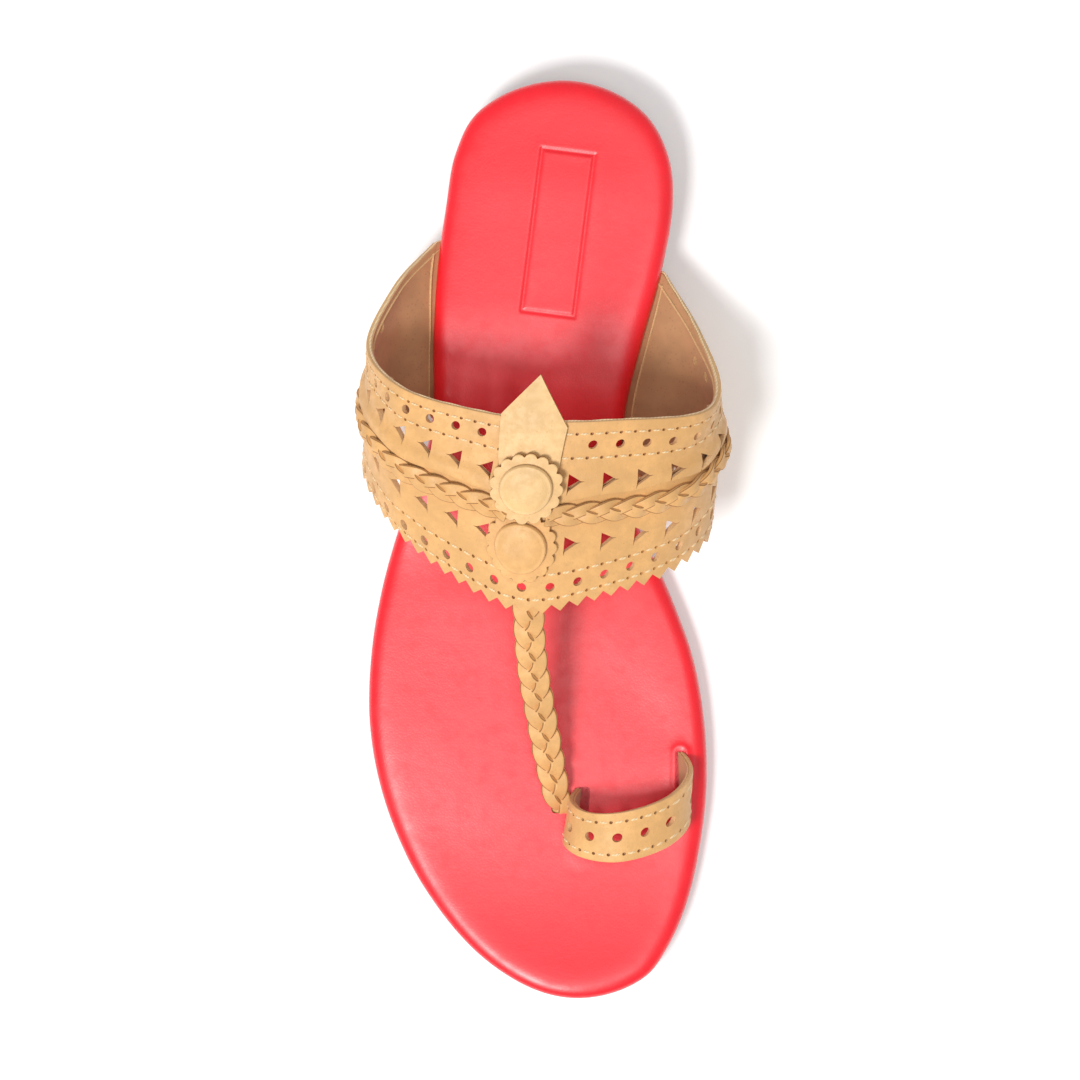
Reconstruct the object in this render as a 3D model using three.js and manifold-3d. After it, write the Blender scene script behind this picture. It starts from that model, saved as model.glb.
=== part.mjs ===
// A flat kolhapuri sandal for the right foot: a wide instep band, a braided T strap and a ring for the
// big toe, on a padded insole, a thin outsole and a low heel.
//
// Millimetres. +Z is up and the floor is z = 0. The toe points to -Y, the big-toe (medial) side is +X.
// The origin is on the heel's underside. Lengths along the sole are given as a station: the distance
// from the back of the heel.
import * as THREE from "three";
import { mergeVertices } from "three/addons/utils/BufferGeometryUtils.js";
import Module from "manifold-3d";

const wasm = await Module();
wasm.setup();

// ---- Driving dimensions ----------------------------------------------------------------------------------

const SOLE_LENGTH = 250;
const ORIGIN_STATION = 30;
const GAP = 0.3; // clearance between neighbouring pieces

const HEEL_LIFT = 10; // height of the outsole's underside over the heel
const HEEL_LENGTH = 58; // station of the heel's front face, the breast
const HEEL_TUCK = 2.5; // how far the heel stands inside the sole's edge at the floor
const BREAST_HOLLOW = 3; // depth of the breast's curve
const WAIST_START = 60; // from here the sole runs down to the tread
const TREAD_START = 136; // from here to TREAD_END the outsole lies flat on the floor
const TREAD_END = 202;
const TOE_SPRING = 5;

const OUTSOLE_THICK = 3;
const INSOLE_THICK = 6.2;

const WALL = 2.2; // instep band: leather and lining
const RING_WALL = 2;
const LASTING_MARGIN = 8; // width of the band's edge turned in between insole and outsole
const STRAP_THICK = 3.2;

const ORNAMENT_THICK = 1.2; // leaf tab and rosettes
const ROSETTE_RADIUS = 9.8;
const ROSETTE_TEETH = 16;
const TOOTH_DEPTH = 0.9;
const BUTTON_RADIUS = 6.9;
const BUTTON_HEIGHT = 2.2;

const BRAID_WIDTH = 5.8;
const BRAID_THICK = 2.6;
const BRAID_PLACE = 0.5; // where the braid runs, as a share of the band from its rear to its front edge
const BRAID_START = 10.4; // from the rosettes' middle line to the braid's end beside them
const BRAID_FOOT = 9; // from the braid's lower end to the band's foot

// The rosettes' middles: distance from the crown line, and share from the band's rear to its front edge.
const REAR_ROSETTE = { across: -3, share: 0.345 };
const FRONT_ROSETTE = { across: -2.3, share: 0.66 };

// Rim of the leaf tab, across and forward of the rear rosette's middle, anticlockwise from above.
const LEAF = [
  [4.5, 5],
  [7.4, -6],
  [7.5, -17],
  [-2.7, -32],
  [-10, -19.3],
  [-8.4, -6.7],
  [-4.5, 5],
];

// Edge of the sole from above: x of the lateral and of the medial edge.
const OUTLINE = [
  { station: 0, lateral: 5, medial: 5 },
  { station: 8, lateral: -17.4, medial: 26.2 },
  { station: 20, lateral: -24.2, medial: 33.6 },
  { station: 34, lateral: -26.7, medial: 35 },
  { station: 52, lateral: -29.1, medial: 31.9 },
  { station: 72, lateral: -30.2, medial: 26.4 },
  { station: 90, lateral: -30.4, medial: 22 },
  { station: 104, lateral: -33.3, medial: 21.2 },
  { station: 120, lateral: -39.5, medial: 25 },
  { station: 138, lateral: -44.7, medial: 33.3 },
  { station: 157, lateral: -47.8, medial: 40.3 },
  { station: 176, lateral: -48.1, medial: 43.6 },
  { station: 194, lateral: -44.8, medial: 44 },
  { station: 212, lateral: -37.8, medial: 41.7 },
  { station: 226, lateral: -29.1, medial: 38.1 },
  { station: 237, lateral: -19.4, medial: 33 },
  { station: 244.5, lateral: -9.3, medial: 27 },
  { station: 250, lateral: 9, medial: 9 },
];

// Foot side of the instep band. Each rail runs from the band's rear edge to its front edge, and the rows
// go round the instep from the lateral to the medial side. A place is x, station and height, and the two
// feet stand against the insole's edge, so they have stations only.
const BAND_RAILS = [
  { rail: "lateral foot", rear: 43.5, middle: 66, front: 92 },
  { rail: "lateral wall", rear: [-39, 56, 25.5], middle: [-41.4, 76, 23.5], front: [-43, 97.5, 19.5] },
  { rail: "lateral side", rear: [-45.2, 73, 39], middle: [-45.9, 89, 33], front: [-47.4, 105.5, 25] },
  { rail: "lateral shoulder", rear: [-36, 84.2, 54.5], middle: [-38.5, 103.4, 47], front: [-38.5, 121.5, 36.5] },
  { rail: "lateral instep", rear: [-18, 90.2, 62], middle: [-20.5, 112.6, 54], front: [-21.5, 135.5, 43.6] },
  { rail: "crown", rear: [3, 93.4, 64.5], middle: [-1.5, 118, 56.5], front: [-3.4, 144, 46] },
  { rail: "medial instep", rear: [22, 93, 62.2], middle: [19.5, 116, 54.4], front: [15, 140, 43.8] },
  { rail: "medial shoulder", rear: [42.2, 91, 53.5], middle: [39, 109.8, 47], front: [34, 132.8, 36.5] },
  { rail: "medial side", rear: [46.3, 85.2, 41], middle: [46.4, 98.6, 34], front: [43.8, 122.4, 25] },
  { rail: "medial wall", rear: [41.3, 68.5, 25.5], middle: [39, 90.6, 22.5], front: [37, 115, 19] },
  { rail: "medial foot", rear: 52, middle: 80, front: 108 },
];

// Toe side of the big-toe ring, in the same way. Its feet go down through slots in the insole.
const RING_RAILS = [
  { rail: "lateral foot", rear: [11.4, 191, null], front: [10.8, 204.5, null] },
  { rail: "lateral side", rear: [8.6, 195.6, 18], front: [6.6, 207.4, 16] },
  { rail: "lateral shoulder", rear: [12.4, 198.2, 25.5], front: [10.4, 210.4, 22] },
  { rail: "crown", rear: [21, 198, 29], front: [19.8, 211.6, 25] },
  { rail: "medial shoulder", rear: [34, 193.6, 25.5], front: [32.6, 207.8, 22] },
  { rail: "medial side", rear: [39.2, 187.5, 18], front: [38.2, 202, 15.5] },
  { rail: "medial foot", rear: [34.4, 179.4, null], front: [34.6, 195, null] },
];

// Middle line of the T strap, from under the band's front edge to its slot beside the ring, and its width.
const T_STRAP = [
  { x: -3.4, station: 135, height: 49.2, width: 8 },
  { x: -3, station: 145, height: 44.6, width: 8 },
  { x: -2, station: 158, height: 35.8, width: 8 },
  { x: 0.1, station: 172, height: 25.8, width: 8 },
  { x: 2, station: 185, height: 17.4, width: 7.6 },
  { x: 3.5, station: 194, height: 12.2, width: 5.6 },
  { x: 4.3, station: 199, height: 8.4, width: 4 },
  { x: 4.5, station: 200.8, height: 3.8, width: 4 },
];

const OUTLINE_STEPS = 44; // along each side of the sole
const RIB_STEPS = 240; // divisions of a rib when its length is measured

// ---- Curves ----------------------------------------------------------------------------------------------

const clamp01 = (t) => Math.min(1, Math.max(0, t));

const at = (x, station, height) => new THREE.Vector3(x, ORIGIN_STATION - station, height);

// Height of the outsole's underside: the heel seat, the waist, the flat tread and the toe spring.
function lift(station) {
  const waist = clamp01((station - WAIST_START) / (TREAD_START - WAIST_START));
  const spring = clamp01((station - TREAD_END) / (SOLE_LENGTH - TREAD_END));
  return HEEL_LIFT * (1 - waist * waist * (3 - 2 * waist)) + TOE_SPRING * spring * spring;
}

const outsoleTop = (station) => lift(station) + OUTSOLE_THICK;

// The outline's knots are turns of a half circle from heel to toe, which makes both of its ends round.
const turnOf = (station) => Math.acos(1 - (2 * station) / SOLE_LENGTH);
const stationOf = (turn) => (SOLE_LENGTH * (1 - Math.cos(turn))) / 2;

// x of the sole's edge at a station: cubic pieces through the outline's rows.
function edge(side, station) {
  const turn = turnOf(THREE.MathUtils.clamp(station, 0, SOLE_LENGTH));
  const rows = OUTLINE.map((row) => ({ turn: turnOf(row.station), x: row[side] }));
  const slope = (i) => {
    const [a, b] = [rows[Math.max(0, i - 1)], rows[Math.min(rows.length - 1, i + 1)]];
    return (b.x - a.x) / (b.turn - a.turn);
  };
  const i = Math.max(0, rows.findIndex((row) => row.turn >= turn - 1e-9) - 1);
  const span = rows[i + 1].turn - rows[i].turn;
  const t = (turn - rows[i].turn) / span;
  const [t2, t3] = [t * t, t * t * t];
  return (
    rows[i].x * (2 * t3 - 3 * t2 + 1) +
    rows[i + 1].x * (3 * t2 - 2 * t3) +
    span * (slope(i) * (t3 - 2 * t2 + t) + slope(i + 1) * (t3 - t2))
  );
}

// ---- Solids ----------------------------------------------------------------------------------------------

function geometryOf(points, triangles) {
  const positions = new Float32Array(points.flatMap((p) => [p.x, p.y, p.z]));
  return new THREE.BufferGeometry()
    .setAttribute("position", new THREE.BufferAttribute(positions, 3))
    .setIndex(triangles);
}

function solidOf(geometry) {
  const bare = geometry.clone();
  bare.deleteAttribute("normal");
  bare.deleteAttribute("uv");
  const merged = mergeVertices(bare, 1e-4);
  const mesh = new wasm.Mesh({
    numProp: 3,
    vertProperties: merged.attributes.position.array,
    triVerts: new Uint32Array(merged.index.array),
  });
  return new wasm.Manifold(mesh);
}

// A closed skin over a stack of rings with equally many points, which turn anticlockwise seen from the
// last one. A cap is a fan round the ring's middle or, on a sole, a ladder from one side to the other.
function skinOver(rings, cap) {
  const count = rings[0].length;
  const points = rings.flat();
  const triangles = [];
  for (let r = 0; r + 1 < rings.length; r++)
    for (let i = 0; i < count; i++) {
      const [a, b] = [r * count + i, r * count + ((i + 1) % count)];
      triangles.push(a, b, b + count, a, b + count, a + count);
    }
  const close = (ring, first, flip) => {
    const push = (a, b, c) => (flip ? triangles.push(a, c, b) : triangles.push(a, b, c));
    if (cap === "fan") {
      const middle = ring.reduce((sum, p) => sum.add(p), new THREE.Vector3()).divideScalar(count);
      points.push(middle);
      for (let i = 0; i < count; i++) push(first + i, first + ((i + 1) % count), points.length - 1);
    } else {
      for (let i = 0; i < count / 2; i++) {
        const [a, b, c, d] = [i, i + 1, count - 1 - i, (count - i) % count].map((k) => first + k);
        if (c !== b) push(a, b, c);
        if (d !== a) push(a, c, d);
      }
    }
  };
  close(rings[0], 0, true);
  close(rings[rings.length - 1], (rings.length - 1) * count, false);
  return geometryOf(points, triangles);
}

// One ring of the sole's edge, set in by `inset`: down the lateral side from the heel and back up the
// medial side.
function soleRing(inset, heightAt) {
  const sides = ["lateral", "medial"].map((side) =>
    Array.from({ length: OUTLINE_STEPS + 1 }, (_, i) => {
      const station = stationOf((Math.PI * i) / OUTLINE_STEPS);
      return new THREE.Vector2(edge(side, station), ORIGIN_STATION - station);
    }),
  );
  const loop = [...sides[0], ...sides[1].slice(1, -1).reverse()];
  return loop.map((p, i) => {
    const [before, after] = [loop[(i + loop.length - 1) % loop.length], loop[(i + 1) % loop.length]];
    const along = after.clone().sub(before).normalize();
    const y = p.y + along.x * inset;
    return new THREE.Vector3(p.x - along.y * inset, y, heightAt(ORIGIN_STATION - y));
  });
}

// A sole layer: rows of how far each ring is set in and how high it stands over `floorAt`.
const soleLayer = (floorAt, rows) =>
  skinOver(
    rows.map((row) => soleRing(row.inset, (station) => floorAt(station) + row.height)),
    "ladder",
  );

// A wall over a grid of foot-side points, from `from` to `to` along the outward normal. `grid[j][i]` goes
// round the foot by i and forward by j.
function wallOf(grid, from, to) {
  const [rows, columns] = [grid.length, grid[0].length];
  const normal = (i, j) => {
    const round = grid[j][Math.min(columns - 1, i + 1)].clone().sub(grid[j][Math.max(0, i - 1)]);
    const forward = grid[Math.min(rows - 1, j + 1)][i].clone().sub(grid[Math.max(0, j - 1)][i]);
    return forward.cross(round).normalize();
  };
  const layer = (over) =>
    grid.flatMap((row, j) => row.map((p, i) => p.clone().addScaledVector(normal(i, j), over)));
  const inside = (i, j) => j * columns + i;
  const outside = (i, j) => rows * columns + inside(i, j);
  const triangles = [];
  const quad = (a, b, c, d) => triangles.push(a, b, c, a, c, d);
  for (let j = 0; j + 1 < rows; j++)
    for (let i = 0; i + 1 < columns; i++) {
      quad(inside(i, j), inside(i + 1, j), inside(i + 1, j + 1), inside(i, j + 1));
      quad(outside(i, j), outside(i, j + 1), outside(i + 1, j + 1), outside(i + 1, j));
    }
  const [lastRow, lastColumn] = [rows - 1, columns - 1];
  for (let i = 0; i < lastColumn; i++) {
    quad(inside(i, 0), outside(i, 0), outside(i + 1, 0), inside(i + 1, 0));
    quad(inside(i, lastRow), inside(i + 1, lastRow), outside(i + 1, lastRow), outside(i, lastRow));
  }
  for (let j = 0; j < lastRow; j++) {
    quad(inside(0, j), inside(0, j + 1), outside(0, j + 1), outside(0, j));
    quad(inside(lastColumn, j), outside(lastColumn, j), outside(lastColumn, j + 1), inside(lastColumn, j + 1));
  }
  return geometryOf([...layer(from), ...layer(to)], triangles);
}

// ---- The surfaces of the instep band and of the ring -----------------------------------------------------

// A rib goes round the foot through the rails' points. `point` takes the distance from its crown, medial
// positive.
function ribThrough(points) {
  const curve = new THREE.CatmullRomCurve3(points, false, "centripetal");
  curve.arcLengthDivisions = RIB_STEPS;
  const lengths = curve.getLengths();
  const lateral = lengths[RIB_STEPS / 2];
  const length = lengths[RIB_STEPS];
  const point = (across) => curve.getPointAt(clamp01((across + lateral) / length));
  return { lateral, medial: length - lateral, point };
}

// The rib of the band at a share of the way from its rear edge (0) to its front edge (1), with a parabola
// along each rail. The feet stand on the outsole with one wall thickness below them, close outside the
// insole's edge.
function bandRib(share) {
  const [rear, middle, front] = [
    (1 - share) * (1 - 2 * share),
    4 * share * (1 - share),
    share * (2 * share - 1),
  ];
  const mix = (a, b, c) => a * rear + b * middle + c * front;
  const points = BAND_RAILS.map((row) => {
    if (Array.isArray(row.rear)) return at(...row.rear.map((v, k) => mix(v, row.middle[k], row.front[k])));
    const station = mix(row.rear, row.middle, row.front);
    const [side] = row.rail.split(" ");
    const x = edge(side, station) + (side === "lateral" ? -GAP : GAP);
    return at(x, station, outsoleTop(station) + GAP + WALL);
  });
  return ribThrough(points);
}

function ringRib(share) {
  const points = RING_RAILS.map((row) => {
    const [x, station, height] = [0, 1, 2].map((k) => THREE.MathUtils.lerp(row.rear[k], row.front[k], share));
    return at(x, station, height || outsoleTop(station) + 4 * GAP);
  });
  return ribThrough(points);
}

// A point over the band: `across` mm from the crown line, `share` from its rear to its front edge, and
// `over` mm out from its foot side.
function overBand(across, share, over) {
  const [rib, nextRib] = [bandRib(share), bandRib(share + 0.02)];
  const point = rib.point(across);
  const round = rib.point(across + 1).sub(rib.point(across - 1));
  const forward = nextRib.point(across).sub(point);
  return point.addScaledVector(forward.cross(round).normalize(), over);
}

// From the rear to the front edge of the band and of the ring, along their crowns.
const BAND_LENGTH = bandRib(0).point(0).distanceTo(bandRib(1).point(0));
const RING_LENGTH = ringRib(0).point(0).distanceTo(ringRib(1).point(0));

// A grid over a strap between its two edges, reaching `grow` past each of them.
function strapGrid(ribAt, length, columns, rows, grow) {
  const share = (j) => j / rows + ((j === 0 ? -grow : 0) + (j === rows ? grow : 0)) / length;
  return Array.from({ length: rows + 1 }, (_, j) => {
    const rib = ribAt(share(j));
    return Array.from({ length: columns + 1 }, (_, i) =>
      rib.point(-rib.lateral + ((rib.lateral + rib.medial) * i) / columns),
    );
  });
}

// ---- Pieces ----------------------------------------------------------------------------------------------

const outsole = () =>
  soleLayer(lift, [
    { inset: 1.9, height: 0 },
    { inset: 1.1, height: 0.8 },
    { inset: 1.1, height: OUTSOLE_THICK },
  ]);

// The heel: the sole's outline drawn in towards the floor and cut off by a hollow breast.
function heel() {
  const block = skinOver(
    [
      { inset: HEEL_TUCK, height: 0 },
      { inset: HEEL_TUCK - 1, height: HEEL_LIFT - GAP },
    ].map((row) => soleRing(row.inset, () => row.height)),
    "ladder",
  );
  const halfWidth = SOLE_LENGTH / 5;
  const radius = (halfWidth * halfWidth) / (2 * BREAST_HOLLOW);
  const breast = ORIGIN_STATION - HEEL_LENGTH;
  const turn = Math.asin(halfWidth / radius);
  const front = new THREE.Shape();
  front.moveTo(halfWidth, ORIGIN_STATION + 1);
  front.lineTo(-halfWidth, ORIGIN_STATION + 1);
  front.absarc(0, breast + BREAST_HOLLOW - radius, radius, Math.PI / 2 + turn, Math.PI / 2 - turn, true);
  const depth = HEEL_LIFT + 2;
  const keep = new THREE.ExtrudeGeometry(front, { depth, bevelEnabled: false, curveSegments: 12 });
  keep.translate(0, 0, -1);
  return solidOf(block).intersect(solidOf(keep));
}

// The band's wall with the lasting margins turned in under the insole. It is larger by `grow` where it
// cuts its own room.
function bandWall(grow) {
  const grid = strapGrid(bandRib, BAND_LENGTH, 48, 9, grow);
  const turnIn = (foot, reach) => foot.clone().add(new THREE.Vector3(-Math.sign(foot.x) * reach, 0, 0));
  for (const row of grid) {
    const [lateral, medial] = [row[0], row[row.length - 1]];
    row.unshift(turnIn(lateral, LASTING_MARGIN + grow), turnIn(lateral, LASTING_MARGIN / 4));
    row.push(turnIn(medial, LASTING_MARGIN / 4), turnIn(medial, LASTING_MARGIN + grow));
  }
  return solidOf(wallOf(grid, -grow, WALL + grow));
}

// The T strap: an eight-sided section carried down its middle line.
function tStrap(grow) {
  const places = T_STRAP.map((row) => at(row.x, row.station, row.height));
  const middle = new THREE.CatmullRomCurve3(places, false, "centripetal");
  const steps = 4 * (T_STRAP.length - 1);
  const rings = Array.from({ length: steps + 1 }, (_, k) => {
    const row = (k / steps) * (T_STRAP.length - 1);
    const [before, after] = [T_STRAP[Math.floor(row)], T_STRAP[Math.ceil(row)]];
    const halfWidth = THREE.MathUtils.lerp(before.width, after.width, row % 1) / 2 + grow;
    const halfThick = STRAP_THICK / 2 + grow;
    const forward = middle.getTangent(k / steps);
    const centre = middle.getPoint(k / steps).addScaledVector(forward, k === steps ? 5 * grow : 0);
    const sideways = new THREE.Vector3(1, 0, 0).projectOnPlane(forward).normalize();
    const up = forward.clone().cross(sideways);
    return Array.from({ length: 8 }, (_, i) => {
      const angle = (Math.PI * (2 * i + 1)) / 8;
      const [w, h] = [Math.cos(angle), Math.sin(angle)].map((v) => THREE.MathUtils.clamp(1.25 * v, -1, 1));
      return centre.clone().addScaledVector(sideways, w * halfWidth).addScaledVector(up, h * halfThick);
    });
  });
  return solidOf(skinOver(rings, "fan"));
}

// The ring's wall. Where it cuts its slots it is larger by `grow`, and its feet reach down through the
// insole.
function ringWall(grow) {
  const grid = strapGrid(ringRib, RING_LENGTH, 36, 3, grow);
  const lower = (foot, next) => foot.add(foot.clone().sub(next).setLength(8 * grow));
  for (const row of grid) {
    lower(row[0], row[1]);
    lower(row[row.length - 1], row[row.length - 2]);
  }
  return solidOf(wallOf(grid, -grow, RING_WALL + grow));
}

function insole() {
  const blank = soleLayer((station) => outsoleTop(station) + GAP, [
    { inset: 0.8, height: 0 },
    { inset: 0, height: 1.2 },
    { inset: 0, height: 3.4 },
    { inset: 0.7, height: 4.8 },
    { inset: 2.1, height: 5.8 },
    { inset: 5, height: INSOLE_THICK },
  ]);
  return solidOf(blank).subtract(bandWall(GAP)).subtract(tStrap(GAP)).subtract(ringWall(GAP));
}

// One run of the braid, which lies on the band from beside the rosettes down to the sole's edge.
function instepBraid(side) {
  const [steps, halfShare] = [30, BRAID_WIDTH / 2 / BAND_LENGTH];
  const outward = side === "lateral" ? -1 : 1;
  const start = REAR_ROSETTE.across + outward * BRAID_START;
  const end = outward * (bandRib(BRAID_PLACE)[side] - BRAID_FOOT);
  const grid = [-1, -0.5, 0.5, 1].map((k) => {
    const row = Array.from({ length: steps + 1 }, (_, i) => {
      const across = THREE.MathUtils.lerp(start, end, i / steps);
      return overBand(across, BRAID_PLACE + k * halfShare, WALL + GAP);
    });
    return outward > 0 ? row : row.reverse();
  });
  return solidOf(wallOf(grid, 0, BRAID_THICK));
}

// A flat ornament that follows the band. `outline` is its rim, as distances across and forward from its
// place.
function ornament(place, outline, over, thick) {
  const ring = (size, height) =>
    outline.map(([across, forward]) =>
      overBand(place.across + across * size, place.share + (forward * size) / BAND_LENGTH, WALL + height),
    );
  const [low, high] = [over, over + thick];
  return solidOf(skinOver([ring(0.4, low), ring(1, low), ring(1, high), ring(0.4, high)], "fan"));
}

// A round rim with scallops.
function scallops(radius, teeth, depth) {
  const points = teeth * 4;
  return Array.from({ length: points }, (_, i) => {
    const angle = (2 * Math.PI * i) / points;
    const reach = radius - depth * Math.sin((teeth * angle) / 2) ** 2;
    return [reach * Math.cos(angle), -reach * Math.sin(angle)];
  });
}

// A domed button on a rosette. Its rim has 28 points, like seven scallops with no depth.
function button(place, over) {
  const circle = scallops(1, 7, 0);
  const dome = [
    { radius: 0.45 * BUTTON_RADIUS, height: 0 },
    { radius: 0.96 * BUTTON_RADIUS, height: 0 },
    { radius: BUTTON_RADIUS, height: 0.35 * BUTTON_HEIGHT },
    { radius: 0.82 * BUTTON_RADIUS, height: 0.75 * BUTTON_HEIGHT },
    { radius: 0.45 * BUTTON_RADIUS, height: 0.97 * BUTTON_HEIGHT },
  ];
  const rings = dome.map((row) =>
    circle.map(([across, forward]) =>
      overBand(
        place.across + across * row.radius,
        place.share + (forward * row.radius) / BAND_LENGTH,
        WALL + over + row.height,
      ),
    ),
  );
  return solidOf(skinOver(rings, "fan"));
}

// ---- The sandal ------------------------------------------------------------------------------------------

const FINISH = {
  tan_leather: { color: 0xd9ad72, roughness: 0.55 },
  pale_leather: { color: 0xe9c795, roughness: 0.6 },
  red_leather: { color: 0xe5263f, roughness: 0.35 },
  sole_rubber: { color: 0x6b4a33, roughness: 0.7 },
};

const sandal = new THREE.Group();
sandal.name = "kolhapuri_sandal";

function add(name, finish, solid) {
  const mesh = solid.getMesh();
  const geometry = new THREE.BufferGeometry()
    .setAttribute("position", new THREE.BufferAttribute(new Float32Array(mesh.vertProperties), 3))
    .setIndex(new THREE.BufferAttribute(new Uint32Array(mesh.triVerts), 1));
  const piece = new THREE.Mesh(geometry, new THREE.MeshStandardMaterial({ ...FINISH[finish], metalness: 0 }));
  piece.name = name;
  sandal.add(piece);
}

const rosette = scallops(ROSETTE_RADIUS, ROSETTE_TEETH, TOOTH_DEPTH);
const onBand = 1.5 * GAP;
const onLeaf = onBand + ORNAMENT_THICK + GAP;

add("outsole", "sole_rubber", solidOf(outsole()));
add("heel", "sole_rubber", heel());
add("insole", "red_leather", insole());
add("upper", "tan_leather", bandWall(0).add(tStrap(0)));
add("toe_ring", "tan_leather", ringWall(0));
for (const side of ["lateral", "medial"]) add(`instep_braid_${side}`, "tan_leather", instepBraid(side));
add("leaf_tab", "pale_leather", ornament(REAR_ROSETTE, LEAF, onBand, ORNAMENT_THICK));
add("rosette_rear", "tan_leather", ornament(REAR_ROSETTE, rosette, onLeaf, ORNAMENT_THICK));
add("rosette_front", "tan_leather", ornament(FRONT_ROSETTE, rosette, onBand, ORNAMENT_THICK));
add("button_rear", "tan_leather", button(REAR_ROSETTE, onLeaf + ORNAMENT_THICK + GAP));
add("button_front", "tan_leather", button(FRONT_ROSETTE, onBand + ORNAMENT_THICK + GAP));

export default sandal;
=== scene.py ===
import math

import bpy
import numpy as np
from bpy.props import FloatProperty, FloatVectorProperty, PointerProperty
from bpy.types import Operator, Panel, PropertyGroup
from mathutils import Matrix, Vector


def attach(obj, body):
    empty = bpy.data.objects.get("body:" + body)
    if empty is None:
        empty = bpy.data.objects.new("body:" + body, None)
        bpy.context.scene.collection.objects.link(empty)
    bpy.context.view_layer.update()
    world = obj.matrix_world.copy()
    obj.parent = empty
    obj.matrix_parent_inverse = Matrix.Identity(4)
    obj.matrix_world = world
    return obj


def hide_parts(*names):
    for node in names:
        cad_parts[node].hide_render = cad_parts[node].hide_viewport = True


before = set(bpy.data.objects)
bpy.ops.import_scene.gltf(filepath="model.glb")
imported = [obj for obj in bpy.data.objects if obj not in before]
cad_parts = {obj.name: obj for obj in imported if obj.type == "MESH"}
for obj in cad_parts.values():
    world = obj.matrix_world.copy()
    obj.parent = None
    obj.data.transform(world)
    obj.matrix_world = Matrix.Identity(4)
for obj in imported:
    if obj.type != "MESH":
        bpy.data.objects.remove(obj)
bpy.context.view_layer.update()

bl_info = {
    "name": "Kolhapuri sandal",
    "version": (1, 0, 0),
    "blender": (4, 5, 0),
    "location": "3D View > Sidebar > Sandal",
    "description": "Models a flat kolhapuri sandal for the right foot, piece by piece",
    "category": "Object",
}

# Everything is drawn in millimetres, first flat as on the cutting table and then lasted: bent onto the
# foot's shape. The floor is z = 0, the toe points to -Y, and the big-toe side is +X. A station is the
# distance from the back of the heel, along the sole.
MM = 0.001
SOLE_LENGTH = 250.0
ORIGIN_STATION = 30.0
GAP = 0.3

# ---- The sole and the last ---------------------------------------------------------------------------------

HEEL_LIFT = 10.0  # height of the outsole's underside over the heel
WAIST_START = 60.0  # from here the sole runs down to the tread
TREAD_START = 136.0
TREAD_END = 202.0
TOE_SPRING = 5.0
OUTSOLE_THICK = 3.0
INSOLE_THICK = 6.2
HEEL_LENGTH = 58.0
BREAST_HOLLOW = 3.0
WALL = 2.2  # leather and lining of the band, where it turns in over the outsole

# Edge of the sole from above: station, x of the lateral edge, x of the medial edge.
OUTLINE = np.array(
    [
        (0, 5, 5),
        (8, -17.4, 26.2),
        (20, -24.2, 33.6),
        (34, -26.7, 35),
        (52, -29.1, 31.9),
        (72, -30.2, 26.4),
        (90, -30.4, 22),
        (104, -33.3, 21.2),
        (120, -39.5, 25),
        (138, -44.7, 33.3),
        (157, -47.8, 40.3),
        (176, -48.1, 43.6),
        (194, -44.8, 44),
        (212, -37.8, 41.7),
        (226, -29.1, 38.1),
        (237, -19.4, 33),
        (244.5, -9.3, 27),
        (250, 9, 9),
    ]
)

# Foot side of the instep band, round the foot from the lateral to the medial side. Each rail has a place at
# the band's rear edge, its middle and its front edge: x, station, height. The two feet have stations only.
BAND_RAILS = [
    ("lateral", 43.5, 66, 92),
    ((-39, 56, 25.5), (-41.4, 76, 23.5), (-43, 97.5, 19.5)),
    ((-45.2, 73, 39), (-45.9, 89, 33), (-47.4, 105.5, 25)),
    ((-36, 84.2, 54.5), (-38.5, 103.4, 47), (-38.5, 121.5, 36.5)),
    ((-18, 90.2, 62), (-20.5, 112.6, 54), (-21.5, 135.5, 43.6)),
    ((3, 93.4, 64.5), (-1.5, 118, 56.5), (-3.4, 144, 46)),
    ((22, 93, 62.2), (19.5, 116, 54.4), (15, 140, 43.8)),
    ((42.2, 91, 53.5), (39, 109.8, 47), (34, 132.8, 36.5)),
    ((46.3, 85.2, 41), (46.4, 98.6, 34), (43.8, 122.4, 25)),
    ((41.3, 68.5, 25.5), (39, 90.6, 22.5), (37, 115, 19)),
    ("medial", 52, 80, 108),
]

# Toe side of the big-toe ring, in the same way, with a place at its rear and at its front edge. The two feet
# have x and station only.
RING_RAILS = [
    ((11.4, 191), (10.8, 204.5)),
    ((8.6, 195.6, 18), (6.6, 207.4, 16)),
    ((12.4, 198.2, 25.5), (10.4, 210.4, 22)),
    ((21, 198, 29), (19.8, 211.6, 25)),
    ((34, 193.6, 25.5), (32.6, 207.8, 22)),
    ((38.8, 187.2, 18), (38, 202, 15.5)),
    ((33, 178.8), (33.6, 194.8)),
]

# Middle line of the T strap: x, station, height, width.
T_STRAP = np.array(
    [
        (-3.4, 135, 49.2, 8),
        (-3.2, 145, 44.6, 8),
        (-2.6, 158, 35.8, 8),
        (-0.6, 172, 25.8, 8),
        (1.5, 185, 17.4, 7.8),
        (3.2, 194, 12.2, 7.2),
        (4.3, 199, 8.4, 5.4),
        (4.5, 200.8, 3.8, 4),
    ]
)


def lift(station):
    """Height of the outsole's underside: the heel seat, the waist, the flat tread and the toe spring."""
    waist = np.clip((station - WAIST_START) / (TREAD_START - WAIST_START), 0, 1)
    spring = np.clip((station - TREAD_END) / (SOLE_LENGTH - TREAD_END), 0, 1)
    return HEEL_LIFT * (1 - smooth(waist)) + TOE_SPRING * spring**2


def smooth(t):
    t = np.clip(t, 0, 1)
    return t * t * (3 - 2 * t)


def turn_of(station):
    """A station as a turn of a half circle from heel to toe, which makes both ends of the outline round."""
    return np.arccos(np.clip(1 - 2 * np.asarray(station, float) / SOLE_LENGTH, -1, 1))


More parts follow.
